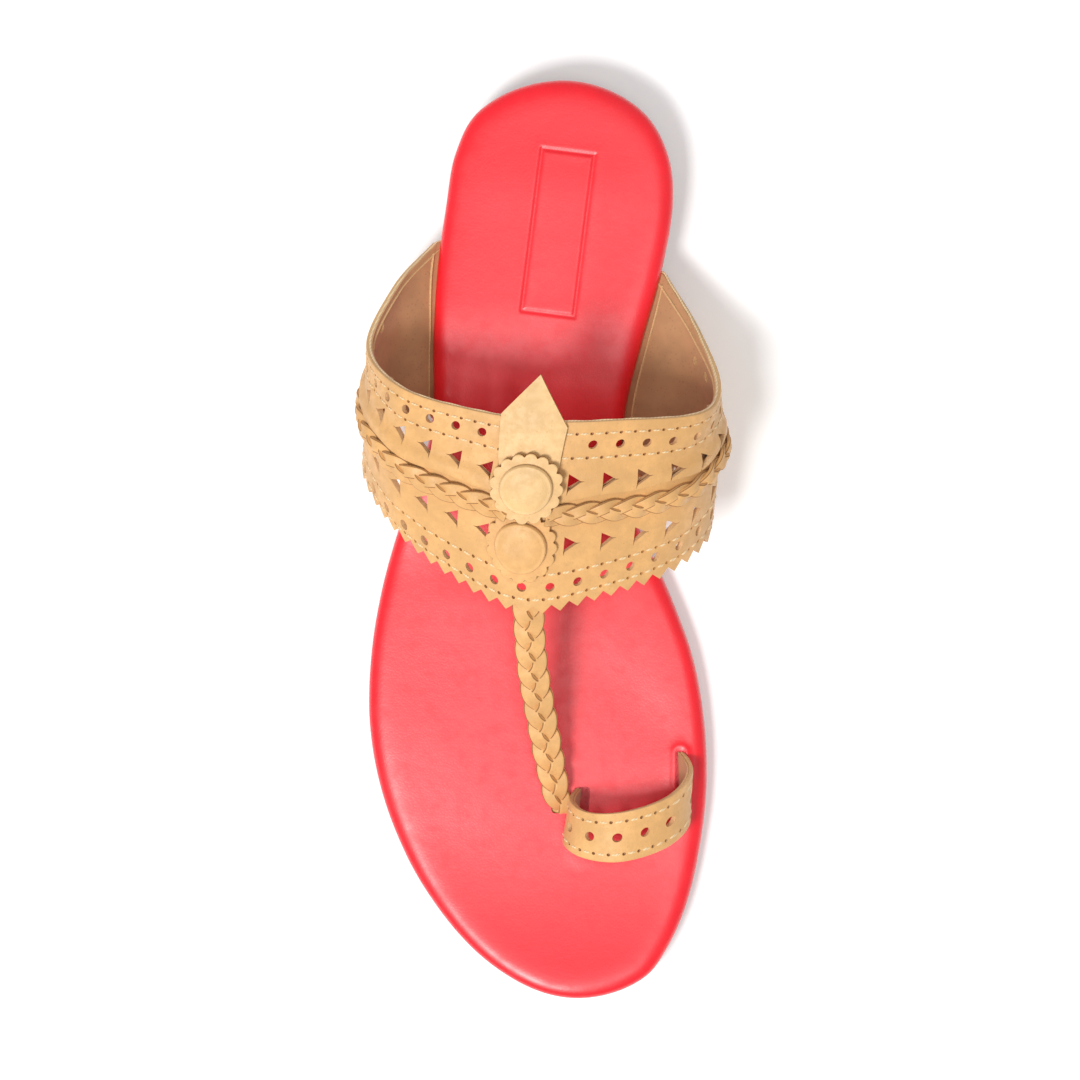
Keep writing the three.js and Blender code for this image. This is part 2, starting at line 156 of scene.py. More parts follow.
def edge(side, station):
    """x of the sole's edge at stations: cubic pieces through the outline's rows."""
    knots, x = turn_of(OUTLINE[:, 0]), OUTLINE[:, 1 if side == "lateral" else 2]
    slope = np.empty_like(x)
    slope[1:-1] = (x[2:] - x[:-2]) / (knots[2:] - knots[:-2])
    slope[0] = (x[1] - x[0]) / (knots[1] - knots[0])
    slope[-1] = (x[-1] - x[-2]) / (knots[-1] - knots[-2])
    turn = turn_of(station)
    i = np.clip(np.searchsorted(knots, turn) - 1, 0, len(x) - 2)
    span = knots[i + 1] - knots[i]
    t = (turn - knots[i]) / span
    along = x[i] * (2 * t**3 - 3 * t**2 + 1) + x[i + 1] * (3 * t**2 - 2 * t**3)
    return along + span * (slope[i] * (t**3 - 2 * t**2 + t) + slope[i + 1] * (t**3 - t**2))


def rib_through(places, steps=480):
    """A centripetal curve through places, as evenly timed points."""
    p = np.asarray(places, float)
    p = np.vstack([2 * p[0] - p[1], p, 2 * p[-1] - p[-2]])
    t = np.linspace(0, 1, steps + 1) * (len(p) - 3)
    i = np.minimum(t.astype(int), len(p) - 4)
    w = (t - i)[:, None]
    a, b, c, d = p[i], p[i + 1], p[i + 2], p[i + 3]
    before, here, after = [np.linalg.norm(q - r, axis=1)[:, None] ** 0.5 for q, r in ((b, a), (c, b), (d, c))]
    start = ((b - a) / before - (c - a) / (before + here) + (c - b) / here) * here
    end = ((c - b) / here - (d - b) / (here + after) + (d - c) / after) * here
    return b + start * w + (3 * (c - b) - 2 * start - end) * w**2 + (2 * (b - c) + start + end) * w**3


FOLD_REACH = (1, 3)  # mm from the band's foot to the points of its turned-in end


def outsole_top(station):
    return lift(station) + OUTSOLE_THICK


def band_rib(share):
    """The foot side of the band at a share of the way from its rear to its front edge, and its crown's index.
    Each end turns in under the insole."""
    mix = np.array([(1 - share) * (1 - 2 * share), 4 * share * (1 - share), share * (2 * share - 1)])
    places = []
    for row in BAND_RAILS:
        if isinstance(row[0], str):
            station = mix @ row[1:]
            x = edge(row[0], station) + (-GAP if row[0] == "lateral" else GAP)
            places.append((x, ORIGIN_STATION - station, outsole_top(station) + GAP + WALL))
        else:
            x, station, height = mix @ np.array(row, float)
            places.append((x, ORIGIN_STATION - station, height))
    curve = rib_through(places)
    folds = []
    for foot in curve[[0, -1]]:
        inward = np.array([-np.sign(foot[0]), 0, -0.2])
        folds.append([foot + reach * inward for reach in FOLD_REACH])
    return np.vstack([folds[0][::-1], curve, folds[1]]), 2 + len(curve) // 2


def ring_rib(share):
    """The foot side of the ring, in the same way. Its ends stop above the outsole."""
    places = []
    for rear, front in RING_RAILS:
        mixed = np.array(rear, float) * (1 - share) + np.array(front, float) * share
        height = mixed[2] if len(mixed) == 3 else outsole_top(mixed[1]) + 4 * GAP
        places.append((mixed[0], ORIGIN_STATION - mixed[1], height))
    curve = rib_through(places)
    return curve, len(curve) // 2


class Last:
    """The shape that a flat strap is bent onto. A flat place is: mm round the foot from the crown line, mm
    forward from the strap's rear edge (measured along the crown), mm out from the foot."""

    def __init__(self, rib, held, end, give):
        self.shares = np.linspace(-0.3, 1.12, 87)
        self.rounds = np.arange(-end - 4, end + 4.5, 0.75)
        self.held, self.end, self.give = held, end, give
        self.places = np.zeros((len(self.shares), len(self.rounds), 3))
        self.reach = np.zeros((len(self.shares), 2))
        for k, share in enumerate(self.shares):
            points, crown = rib(share)
            length = np.r_[0, np.cumsum(np.linalg.norm(np.diff(points, axis=0), axis=1))]
            length -= length[crown]
            self.reach[k] = -length[0], length[-1]
            for axis in range(3):
                self.places[k, :, axis] = np.interp(self.rounds, length, points[:, axis])
        out = np.cross(np.gradient(self.places, axis=0), np.gradient(self.places, axis=1))
        self.out = out / np.maximum(np.linalg.norm(out, axis=2, keepdims=True), 1e-9)
        worn = self.places[(self.shares >= 0) & (self.shares <= 1)]
        self.rails = np.linalg.norm(np.diff(worn, axis=0), axis=2).sum(0)
        self.length = self.rails[np.argmin(np.abs(self.rounds))]

    def look_up(self, table, across, share):
        row = (share - self.shares[0]) / (self.shares[1] - self.shares[0])
        column = (across - self.rounds[0]) / (self.rounds[1] - self.rounds[0])
        row, column = np.clip(row, 0, table.shape[0] - 1.001), np.clip(column, 0, table.shape[1] - 1.001)
        i, j = row.astype(int), column.astype(int)
        f, g = (row - i)[:, None], (column - j)[:, None]
        near, far = [table[i, j + k] * (1 - f) + table[i + 1, j + k] * f for k in (0, 1)]
        return near * (1 - g) + far * g

    def squeeze(self, across):
        """Flat millimetres forward for each lasted one, at distances from the crown."""
        return self.length / np.interp(across, self.rounds, np.maximum(self.rails, self.length / 2))

    def __call__(self, points):
        share = points[:, 1] / self.length
        lateral, medial = [np.interp(share, self.shares, self.reach[:, k]) for k in (0, 1)]
        reach, x = np.where(points[:, 0] < 0, lateral, medial), np.abs(points[:, 0])
        past = (x - self.held) / (self.end - self.held)
        across = np.sign(points[:, 0]) * np.where(past > 0, self.held + past * (reach - self.held), x)
        out = self.look_up(self.out, across, share)
        out /= np.linalg.norm(out, axis=1, keepdims=True)
        return self.look_up(self.places, across, share) + out * (points[:, 2:] + self.give(points)[:, None])


def band_give(points):
    """How the band's leather rises and sinks off an even curve: slow waves, and listed creases."""
    x, y = points[:, 0], points[:, 1]
    out = 0.14 * np.sin(x / 9.3 + y / 21 + 0.6) + 0.1 * np.sin(x / 5.1 - y / 12 + 2.1)
    for x0, y0, x1, y1, width, depth in BAND_CREASES:
        run = np.array([x1 - x0, y1 - y0])
        t = np.clip(((x - x0) * run[0] + (y - y0) * run[1]) / (run @ run), 0, 1)
        away = np.hypot(x - x0 - t * run[0], y - y0 - t * run[1])
        out += depth * np.exp(-((away / width) ** 2)) * smooth(2 - 4 * np.abs(t - 0.5))
    return out


# Soft troughs and ridges of the band: a flat line's two ends, its half width, and how far it rises.
BAND_CREASES = [
    (-62, 3, -30, 20, 3.2, -0.5),
    (-78, 10, -48, 30, 3.5, 0.4),
    (30, 18, 66, 4, 3.2, -0.45),
    (52, 30, 82, 14, 3.4, 0.45),
    (-40, 46, -24, 33, 3.0, -0.3),
    (26, 40, 44, 49, 3.0, -0.3),
    (-6, 33, -6, 52, 3.5, 0.35),
]

BAND = Last(band_rib, held=76, end=109, give=band_give)
RING = Last(ring_rib, held=14, end=32, give=lambda points: 0.05 * np.sin(points[:, 0] / 3.1))


T_STRAP_LINE = rib_through(np.c_[T_STRAP[:, 0], ORIGIN_STATION - T_STRAP[:, 1], T_STRAP[:, 2]])
T_STRAP_RUN = np.r_[0, np.cumsum(np.linalg.norm(np.diff(T_STRAP_LINE, axis=0), axis=1))]
T_STRAP_LENGTH = T_STRAP_RUN[-1]


def t_strap_place(points):
    """The T strap's shape, for flat places: mm along it, mm to its medial side, mm up."""
    forward = np.gradient(T_STRAP_LINE, axis=0)
    forward /= np.linalg.norm(forward, axis=1, keepdims=True)
    sideways = np.array([1.0, 0, 0]) - forward * forward[:, :1]
    sideways /= np.linalg.norm(sideways, axis=1, keepdims=True)
    along = points[:, 0]

    def there(table):
        return np.stack([np.interp(along, T_STRAP_RUN, table[:, k]) for k in range(3)], axis=1)

    past = np.clip(along, None, 0) + np.clip(along - T_STRAP_LENGTH, 0, None)
    up = np.cross(forward, sideways)
    placed = there(T_STRAP_LINE) + there(forward) * past[:, None]
    return placed + there(sideways) * points[:, 1:2] + there(up) * points[:, 2:]


# ---- Working in the flat -----------------------------------------------------------------------------------


def only(obj):
    """Nothing is selected but this piece."""
    bpy.ops.object.select_all(action="DESELECT")
    obj.select_set(True)
    bpy.context.view_layer.objects.active = obj
    return obj


def points_of(obj):
    flat = np.empty(len(obj.data.vertices) * 3)
    obj.data.vertices.foreach_get("co", flat)
    return flat.reshape(-1, 3)


def reshape(obj, place):
    """Moves every point to where place says."""
    obj.data.vertices.foreach_set("co", place(points_of(obj)).ravel())
    obj.data.update()
    return obj


def in_edit(obj, *steps):
    """Runs edit-mode steps on the whole of a piece."""
    only(obj)
    bpy.ops.object.mode_set(mode="EDIT")
    bpy.ops.mesh.select_all(action="SELECT")
    for step in steps:
        step()
    bpy.ops.object.mode_set(mode="OBJECT")
    return obj


def apply(obj, kind, **settings):
    modifier = obj.modifiers.new(kind.title(), kind)
    for name, value in settings.items():
        setattr(modifier, name, value)
    only(obj)
    bpy.ops.object.modifier_apply(modifier=modifier.name)
    return obj


def mesh_piece(name, points, faces):
    mesh = bpy.data.meshes.new(name)
    mesh.from_pydata([tuple(p) for p in points], [], faces)
    obj = bpy.data.objects.new(name, mesh)
    bpy.context.scene.collection.objects.link(obj)
    return obj


def sheet(name, low, high, thick, step):
    """A flat sheet of leather with softly rounded edges, lying on z = 0."""
    low, high = np.array(low, float), np.array(high, float)
    cells = np.maximum(2, np.ceil((high - low) / step)).astype(int)
    bpy.ops.object.select_all(action="DESELECT")
    bpy.ops.mesh.primitive_grid_add(x_subdivisions=cells[0], y_subdivisions=cells[1], size=1)
    obj = bpy.context.object
    obj.name = obj.data.name = name
    reshape(obj, lambda p: np.c_[low + (p[:, :2] + 0.5) * (high - low), p[:, 2]])
    apply(obj, "SOLIDIFY", thickness=thick, offset=1)
    return apply(
        obj, "BEVEL", width=thick * 0.24, segments=2, limit_method="ANGLE", angle_limit=math.radians(60)
    )


def punches(name, outline, places, low, high):
    """Upright prisms on a flat outline, joined. A place is x, y, and the outline's stretch in x and y."""
    outline, points, faces = np.array(outline, float), [], []
    count = len(outline)
    for x, y, wide, deep in places:
        rim = outline[:: 1 if wide * deep > 0 else -1] * (wide, deep) + (x, y)
        first = len(points)
        points += [(*p, low) for p in rim] + [(*p, high) for p in rim]
        faces += [list(range(first, first + count))[::-1], list(range(first + count, first + 2 * count))]
        for i in range(count):
            j = (i + 1) % count
            faces.append((first + i, first + j, first + count + j, first + count + i))
    return mesh_piece(name, points, faces)


def cut(obj, tool, how="DIFFERENCE"):
    apply(obj, "BOOLEAN", operation=how, object=tool, solver="MANIFOLD")
    obj.data.materials.clear()
    bpy.data.objects.remove(tool, do_unlink=True)
    return obj


def copies(name, unit, places):
    """A small shape, copied and joined. A place is x, y, z, its turn in the flat, and its stretch along."""
    shape, faces = points_of(unit), [list(face.vertices) for face in unit.data.polygons]
    points, all_faces = [], []
    for x, y, z, turn, stretch in places:
        cos, sin = math.cos(turn), math.sin(turn)
        along, side = shape[:, 0] * stretch, shape[:, 1]
        first = len(shape) * len(points)
        points.append(np.c_[x + along * cos - side * sin, y + along * sin + side * cos, z + shape[:, 2]])
        all_faces += [[first + k for k in face] for face in faces]
    bpy.data.objects.remove(unit, do_unlink=True)
    return mesh_piece(name, np.vstack(points), all_faces)


def skin(name, rings, ends=True):
    """A closed skin over rings of points, with a face at each end unless the rings close there."""
    rings = np.asarray(rings)
    rows, count = rings.shape[:2]
    faces = [list(range(count))[::-1], list(range((rows - 1) * count, rows * count))] if ends else []
    for r in range(rows - 1):
        for i in range(count):
            j = (i + 1) % count
            faces.append((r * count + i, r * count + j, (r + 1) * count + j, (r + 1) * count + i))
    return mesh_piece(name, rings.reshape(-1, 3), faces)


def join(name, parts):
    only(parts[0])
    for part in parts[1:]:
        part.select_set(True)
    bpy.ops.object.join()
    parts[0].name = parts[0].data.name = name
    return parts[0]


def spun(name, profile, steps):
    """A round piece: a profile of radius and height turned about z."""
    points = [(radius, 0, height) for radius, height in profile]
    obj = mesh_piece(name, points, [])
    obj.data.edges.add(len(points) - 1)
    obj.data.edges.foreach_set("vertices", [k for i in range(len(points) - 1) for k in (i, i + 1)])
    obj.data.update()
    return in_edit(
        obj,
        lambda: bpy.ops.mesh.spin(steps=steps, angle=2 * math.pi, center=(0, 0, 0), axis=(0, 0, 1)),
        lambda: bpy.ops.mesh.select_all(action="SELECT"),
        lambda: bpy.ops.mesh.remove_doubles(threshold=0.001),
        lambda: bpy.ops.mesh.normals_make_consistent(inside=False),
    )


def cut_edges(obj, finish, chosen=lambda x, y: True):
    """Faces cut through the sheet, and its rim, take an edge's finish where they are chosen."""
    obj.data.materials.append(finish)
    index = len(obj.data.materials) - 1
    for face in obj.data.polygons:
        if abs(face.normal.z) < 0.6 and chosen(face.center.x, face.center.y):
            face.material_index = index


def hand_over(obj, stands_for=(), smooth_angle=38):
    """The finished piece, in metres, riding on the sandal and standing for its solids."""
    reshape(obj, lambda p: p * MM)
    only(obj)
    bpy.ops.object.shade_smooth_by_angle(angle=math.radians(smooth_angle))
    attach(obj, "root")
    if stands_for:
        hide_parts(*stands_for)
    return obj


# ---- Finishes ----------------------------------------------------------------------------------------------


def linear(hex_colour):
    """An sRGB hex colour as the linear red, green, blue that Blender works in."""
    parts = [int(hex_colour[k : k + 2], 16) / 255 for k in (1, 3, 5)]
    return tuple(c / 12.92 if c <= 0.04045 else ((c + 0.055) / 1.055) ** 2.4 for c in parts)


SMOOTH = {"interpolation_type": "SMOOTHSTEP"}
COLOURS = {"data_type": "RGBA", "out": 2}  # a mix of two colours: input 0 is the share, 6 and 7 the colours


def add(tree, kind, links=None, out=0, **settings):
    """A node with its settings, as its output socket. `links` gives its inputs: a number or colour, or the
    socket that feeds it."""
    node = tree.nodes.new("ShaderNode" + kind)
    for name, value in settings.items():
        setattr(node, name, value)
    for name, value in (links or {}).items():
        if isinstance(value, bpy.types.NodeSocket):
            tree.links.new(value, node.inputs[name])
        else:
            node.inputs[name].default_value = value
    return node.outputs[out]


def finish_of(name, **settings):
    """A new finish, its node tree, its shader, and object coordinates in millimetres."""
    material = bpy.data.materials.new(name)
    material.use_nodes = True
    tree = material.node_tree
    shader = tree.nodes["Principled BSDF"]
    for socket, value in settings.items():
        shader.inputs[socket.replace("_", " ")].default_value = value
    metres = add(tree, "TexCoord", out="Object")
    return material, tree, shader, add(tree, "Mapping", {"Vector": metres, "Scale": (1 / MM,) * 3})


def dress(tree, shader, colour, roughness, *relief):
    """A finish's colour, roughness and relief: layers of height socket, depth in mm and strength, one over
    the other."""
    tree.links.new(colour, shader.inputs["Base Color"])
    tree.links.new(roughness, shader.inputs["Roughness"])
    normal = None
    for height, depth, strength in relief:
        links = {"Height": height, "Distance": depth * MM, "Strength": strength}
        if normal:
            links["Normal"] = normal
        normal = add(tree, "Bump", links)
    tree.links.new(normal, shader.inputs["Normal"])


def shade(colour, by):
    return (*(min(1.0, c * by) for c in colour), 1.0)


def tanned_leather(name, colour):
    """Vegetable-tanned cowhide, dyed through, rolled and lightly waxed: a close grain of fine cells with open
    pores, cloudy where the hide took the dye unevenly, and a satin surface."""
    material, tree, shader, mm = finish_of(name, IOR=1.5, Specular_IOR_Level=0.42, Sheen_Weight=0.08)
    cloud = add(tree, "TexNoise", {"Vector": mm, "Scale": 1 / 11.0, "Detail": 4.0, "Roughness": 0.55})
    cloud = add(tree, "MapRange", {"Value": cloud, "From Min": 0.32, "From Max": 0.68}, **SMOOTH)
    mottle = add(tree, "TexNoise", {"Vector": mm, "Scale": 1 / 2.4, "Detail": 4.0, "Roughness": 0.65})
    mottle = add(tree, "MapRange", {"Value": mottle, "From Min": 0.3, "From Max": 0.7}, **SMOOTH)
    grain = {"Vector": mm, "Scale": 1 / 0.75, "Randomness": 0.95}
    grain = add(tree, "TexVoronoi", grain, feature="DISTANCE_TO_EDGE")
    pores = add(tree, "TexVoronoi", {"Vector": mm, "Scale": 1 / 1.5, "Randomness": 1.0})
    pores = {"Value": pores, "From Min": 0.09, "From Max": 0.17, "To Min": 1.0, "To Max": 0.0}
    pores = add(tree, "MapRange", pores, **SMOOTH)
    base = add(tree, "Mix", {0: cloud, 6: shade(colour, 0.9), 7: shade(colour, 1.06)}, **COLOURS)
    share = add(tree, "MapRange", {"Value": mottle, "To Max": 0.5}, **SMOOTH)
    base = add(tree, "Mix", {0: share, 6: base, 7: shade(colour, 0.82)}, **COLOURS)
    share = add(tree, "MapRange", {"Value": pores, "To Max": 0.3}, **SMOOTH)
    base = add(tree, "Mix", {0: share, 6: base, 7: shade(colour, 0.6)}, **COLOURS)
    satin = add(tree, "MapRange", {"Value": mottle, "To Min": 0.45, "To Max": 0.6}, **SMOOTH)
    cells = add(tree, "MapRange", {"Value": grain, "From Min": 0.0, "From Max": 0.22}, **SMOOTH)
    swell = add(tree, "TexNoise", {"Vector": mm, "Scale": 1 / 3.4, "Detail": 5.0, "Roughness": 0.55})
    dress(tree, shader, base, satin, (cells, 0.05, 0.35), (pores, -0.06, 0.4), (swell, 0.16, 0.35))
    return material


def raw_edge(name, colour):
    """The same hide where it was cut: undyed fibres, pale, matt and ragged along the thickness. In dark brown it
    also serves as painted shade on edges.
    """
    material, tree, shader, mm = finish_of(name, IOR=1.45, Specular_IOR_Level=0.2)
    squashed = add(tree, "Mapping", {"Vector": mm, "Scale": (1.0, 1.0, 3.0)})
    fibre = add(tree, "TexNoise", {"Vector": squashed, "Scale": 1 / 0.45, "Detail": 4.0, "Roughness": 0.7})
    share = add(tree, "MapRange", {"Value": fibre, "From Min": 0.3, "From Max": 0.7}, **SMOOTH)
    base = add(tree, "Mix", {0: share, 6: shade(colour, 0.72), 7: shade(colour, 1.08)}, **COLOURS)
    matt = {"Value": fibre, "From Min": 0.3, "From Max": 0.7, "To Min": 0.75, "To Max": 0.95}
    dress(tree, shader, base, add(tree, "MapRange", matt, **SMOOTH), (fibre, 0.12, 0.6))
    return material


def lining_leather(name, colour):
    """Pigskin split, glued flesh side to the band: matt and slightly napped, with pores in loose threes."""
    material, tree, shader, mm = finish_of(name, IOR=1.45, Specular_IOR_Level=0.25, Sheen_Weight=0.15)
    cloud = add(tree, "TexNoise", {"Vector": mm, "Scale": 1 / 9.0, "Detail": 4.0, "Roughness": 0.55})
    cloud = add(tree, "MapRange", {"Value": cloud, "From Min": 0.3, "From Max": 0.7}, **SMOOTH)
    pores = add(tree, "TexVoronoi", {"Vector": mm, "Scale": 1 / 1.3, "Randomness": 0.9})
    pores = {"Value": pores, "From Min": 0.12, "From Max": 0.22, "To Min": 1.0, "To Max": 0.0}
    pores = add(tree, "MapRange", pores, **SMOOTH)
    nap = add(tree, "TexNoise", {"Vector": mm, "Scale": 1 / 0.5, "Detail": 4.0, "Roughness": 0.7})
    base = add(tree, "Mix", {0: cloud, 6: shade(colour, 0.9), 7: shade(colour, 1.08)}, **COLOURS)
    share = add(tree, "MapRange", {"Value": pores, "To Max": 0.35}, **SMOOTH)
    base = add(tree, "Mix", {0: share, 6: base, 7: shade(colour, 0.55)}, **COLOURS)
    matt = {"Value": nap, "From Min": 0.3, "From Max": 0.7, "To Min": 0.62, "To Max": 0.82}
    matt = add(tree, "MapRange", matt, **SMOOTH)
    swell = add(tree, "TexNoise", {"Vector": mm, "Scale": 1 / 4.0, "Detail": 3.0, "Roughness": 0.55})
    dress(tree, shader, base, matt, (pores, -0.08, 0.4), (nap, 0.05, 0.4), (swell, 0.2, 0.3))
    return material


def thread_finish(name, colour):
    """Waxed cotton thread, twisted: slanting ridges 0.7 mm apart, coarser than the real plies so that they
    show, and a dull shine."""
    material, tree, shader, mm = finish_of(name, IOR=1.5, Specular_IOR_Level=0.35, Sheen_Weight=0.25)
    turned = add(tree, "Mapping", {"Vector": mm, "Rotation": (0.0, 0.0, math.radians(40))})
    ply = add(tree, "TexWave", {"Vector": turned, "Scale": 0.45, "Distortion": 1.0}, out="Fac")
    base = add(tree, "Mix", {0: ply, 6: shade(colour, 0.78), 7: shade(colour, 1.05)}, **COLOURS)
    dull = add(tree, "MapRange", {"Value": ply, "To Min": 0.75, "To Max": 0.6}, **SMOOTH)
    dress(tree, shader, base, dull, (ply, 0.06, 0.5))
    return material


def coated_leather(name, colour):
    """Leather with a pressed film of red polyurethane: a smooth, saturated, soft gloss with a very fine cell
    grain, slightly blurred where the foam under it gives."""
    coat = {"Coat_Weight": 0.35, "Coat_Roughness": 0.3}
    material, tree, shader, mm = finish_of(name, IOR=1.5, Specular_IOR_Level=0.6, **coat)
    cloud = add(tree, "TexNoise", {"Vector": mm, "Scale": 1 / 16.0, "Detail": 3.0, "Roughness": 0.55})
    cloud = add(tree, "MapRange", {"Value": cloud, "From Min": 0.3, "From Max": 0.7}, **SMOOTH)
    cells = {"Vector": mm, "Scale": 1 / 0.85, "Randomness": 0.9}
    cells = add(tree, "TexVoronoi", cells, feature="DISTANCE_TO_EDGE")
    cells = add(tree, "MapRange", {"Value": cells, "From Min": 0.0, "From Max": 0.2}, **SMOOTH)
    rub = add(tree, "TexNoise", {"Vector": mm, "Scale": 1 / 5.0, "Detail": 6.0, "Roughness": 0.7})
    rub = add(tree, "MapRange", {"Value": rub, "From Min": 0.35, "From Max": 0.75}, **SMOOTH)
    base = add(tree, "Mix", {0: cloud, 6: shade(colour, 0.93), 7: shade(colour, 1.04)}, **COLOURS)
    share = add(tree, "MapRange", {"Value": cells, "To Min": 0.16, "To Max": 0.0}, **SMOOTH)
    base = add(tree, "Mix", {0: share, 6: base, 7: shade(colour, 0.7)}, **COLOURS)
    gloss = add(tree, "MapRange", {"Value": rub, "To Min": 0.38, "To Max": 0.5}, **SMOOTH)
    give = add(tree, "TexNoise", {"Vector": mm, "Scale": 1 / 6.5, "Detail": 4.0, "Roughness": 0.55})
    dress(tree, shader, base, gloss, (cells, 0.03, 0.3), (give, 0.22, 0.3), (rub, 0.05, 0.2))
    return material


def sole_rubber(name, colour):
    """Moulded crepe rubber sheet, cut and buffed: matt, with a fine stipple and faint buffing lines."""
    material, tree, shader, mm = finish_of(name, IOR=1.52, Specular_IOR_Level=0.35)
    stipple = add(tree, "TexNoise", {"Vector": mm, "Scale": 1 / 0.6, "Detail": 4.0, "Roughness": 0.7})
    lines = add(tree, "Mapping", {"Vector": mm, "Scale": (0.15, 0.15, 2.5)})
    buffed = add(tree, "TexNoise", {"Vector": lines, "Scale": 1 / 0.8, "Detail": 3.0, "Roughness": 0.55})
    cloud = add(tree, "TexNoise", {"Vector": mm, "Scale": 1 / 13.0, "Detail": 4.0, "Roughness": 0.55})
    cloud = add(tree, "MapRange", {"Value": cloud, "From Min": 0.3, "From Max": 0.7}, **SMOOTH)
    base = add(tree, "Mix", {0: cloud, 6: shade(colour, 0.85), 7: shade(colour, 1.12)}, **COLOURS)
    share = {"Value": stipple, "From Min": 0.35, "From Max": 0.7, "To Max": 0.35}
    share = add(tree, "MapRange", share, **SMOOTH)
    base = add(tree, "Mix", {0: share, 6: base, 7: shade(colour, 1.35)}, **COLOURS)
    matt = {"Value": stipple, "From Min": 0.3, "From Max": 0.7, "To Min": 0.6, "To Max": 0.8}
    matt = add(tree, "MapRange", matt, **SMOOTH)
    dress(tree, shader, base, matt, (stipple, 0.08, 0.4), (buffed, 0.06, 0.3))
    return material


FINISHES = {}
MAKERS = {  # what makes each finish, and which of the sandal's colours it takes
    "tan_cowhide": (tanned_leather, "tan"),
    "pale_cowhide": (tanned_leather, "pale"),
    "cut_cowhide": (raw_edge, "raw"),
    # painted shade: the edge finish in dark brown, standing in for the shadow in narrow gaps and on edges turned
    # from the light
    "dressed_edge": (raw_edge, "dressed"),
    "pigskin_lining": (lining_leather, "lining"),
    "waxed_cotton": (thread_finish, "thread"),
    "red_coated_leather": (coated_leather, "red"),
    "crepe_rubber": (sole_rubber, "rubber"),
}


def finish(name):
    """One of the sandal's finishes, made the first time that a piece asks for it."""
    if name not in FINISHES:
        make, colour = MAKERS[name]
        FINISHES[name] = make(name, tuple(getattr(bpy.context.scene.sandal_colours, colour)))
    return FINISHES[name]


# ---- Sizes and colours to change ---------------------------------------------------------------------------


def size(name, description, default, low=0.05, high=60.0):
    return FloatProperty(name=name, description=description + ", in mm", default=default, min=low, max=high)


def colour(name, description, hex_colour):
    return FloatVectorProperty(
        name=name, description=description, subtype="COLOR", size=3, min=0, max=1, default=linear(hex_colour)
    )


class SandalSizes(PropertyGroup):
    leather: size("Leather", "Thickness of the straps' leather", 1.1)
    lining: size("Lining", "Thickness of the band's lining", 0.6)
    hole: size("Round hole", "Width of a round punched hole", 2.4)
    hole_pitch: size("Hole pitch", "From one round hole to the next", 7.3)
    stitch: size("Stitch", "From one needle hole to the next", 3.85)
    thread: size("Thread", "Width of the thread", 0.72)
    needle: size("Needle", "Width of a needle hole", 0.95)
    tooth: size("Tooth", "From one tooth of the pinked edge to the next", 4.7)
    tooth_depth: size("Tooth depth", "Depth of the pinked edge", 2.1)
    lace: size("Lace", "Width of a plaited lace", 3.3)
    lace_thick: size("Lace thickness", "Thickness of a plaited lace", 1.2)
    rosette: size("Rosette", "From a rosette's middle to its scallops' tips", 9.8)
    button: size("Button", "From a button's middle to its rim", 6.9)


class SandalColours(PropertyGroup):
    tan: colour("Tan", "Straps, laces and the front rosette", "#DCA96B")
    pale: colour("Pale tan", "Leaf and rear rosette", "#DFB67D")
    raw: colour("Raw edge", "Leather where it was cut", "#DDB483")
    # Painted shade: a dark brown for edges, standing in for the shadow lines in gaps between pieces and on their
    # unlit sides.
    dressed: colour("Dressed edge", "Cut edges that were rubbed down and stained", "#9E7045")
    lining: colour("Lining", "Inside of the band and of the ring", "#B88A63")
    thread: colour("Thread", "Stitching", "#EBCD9F")
    red: colour("Red", "Insole", "#F20A22")
    rubber: colour("Rubber", "Outsole and heel", "#6B4A33")


# ---- The sole ----------------------------------------------------------------------------------------------

SPINE_ENDS = (27.0, 216.0)  # stations of the ends of the middle line that a sole's skin closes on


def sole_loop(inset, count):
    """Points round the sole's edge, set in: down the lateral side from the heel and up the medial side."""
    station = SOLE_LENGTH * (1 - np.cos(np.linspace(0, math.pi, count + 1))) / 2
    sides = [np.c_[edge(side, station), ORIGIN_STATION - station] for side in ("lateral", "medial")]
    loop = np.vstack([sides[0], sides[1][-2:0:-1]])
    along = np.roll(loop, -1, axis=0) - np.roll(loop, 1, axis=0)
    along /= np.linalg.norm(along, axis=1, keepdims=True)
    return loop + inset * np.c_[-along[:, 1], along[:, 0]]


def sole_layer(name, floor, under, over, count, steps, rise=lambda x, station: 0.0):
    """A layer of the sole. `under` and `over` are rows of inset and height, from the middle of the underside
    out to the edge and from there in over the top. `floor` is its lowest height by station."""
    spine_station = np.clip(ORIGIN_STATION - sole_loop(0.0, count)[:, 1].round(4), *SPINE_ENDS)
    spine_x = (edge("lateral", spine_station) + edge("medial", spine_station)) / 2
    spine = np.c_[spine_x, ORIGIN_STATION - spine_station]
    rows = [(spine * (1 - t) + sole_loop(under[0][0], count) * t, under[0][1]) for t in (0.0, 0.4, 0.8)]
    rows += [(sole_loop(inset, count), height) for inset, height in under + over]
    last = sole_loop(over[-1][0], count)
    rows += [(last * (1 - t) + spine * t, over[-1][1]) for t in np.linspace(0, 1, steps + 1)[1:]]
    rings = []
    for k, (flat, height) in enumerate(rows):
        station = ORIGIN_STATION - flat[:, 1]
        top = rise(flat[:, 0], station) if k > len(under) + 3 else 0.0
        rings.append(np.c_[flat, floor(station) + height + top])
    obj = skin(name, rings, ends=False)
    return in_edit(
        obj,
        lambda: bpy.ops.mesh.remove_doubles(threshold=0.0005),
        lambda: bpy.ops.mesh.normals_make_consistent(inside=False),
    )


STAMP_MIDDLE = (3.9, 41.6)  # x and station of the bare pressed frame under the heel of the foot
STAMP_SIZE = (14.3, 44.2)
STAMP_TURN = math.radians(7.25)

# Where the ring's legs and the T strap go down through the insole: x and station at both ends.
SLOTS = [((37, 183), (36.9, 196)), ((9.4, 193), (9, 205)), ((2.6, 198.6), (6.6, 198.9))]


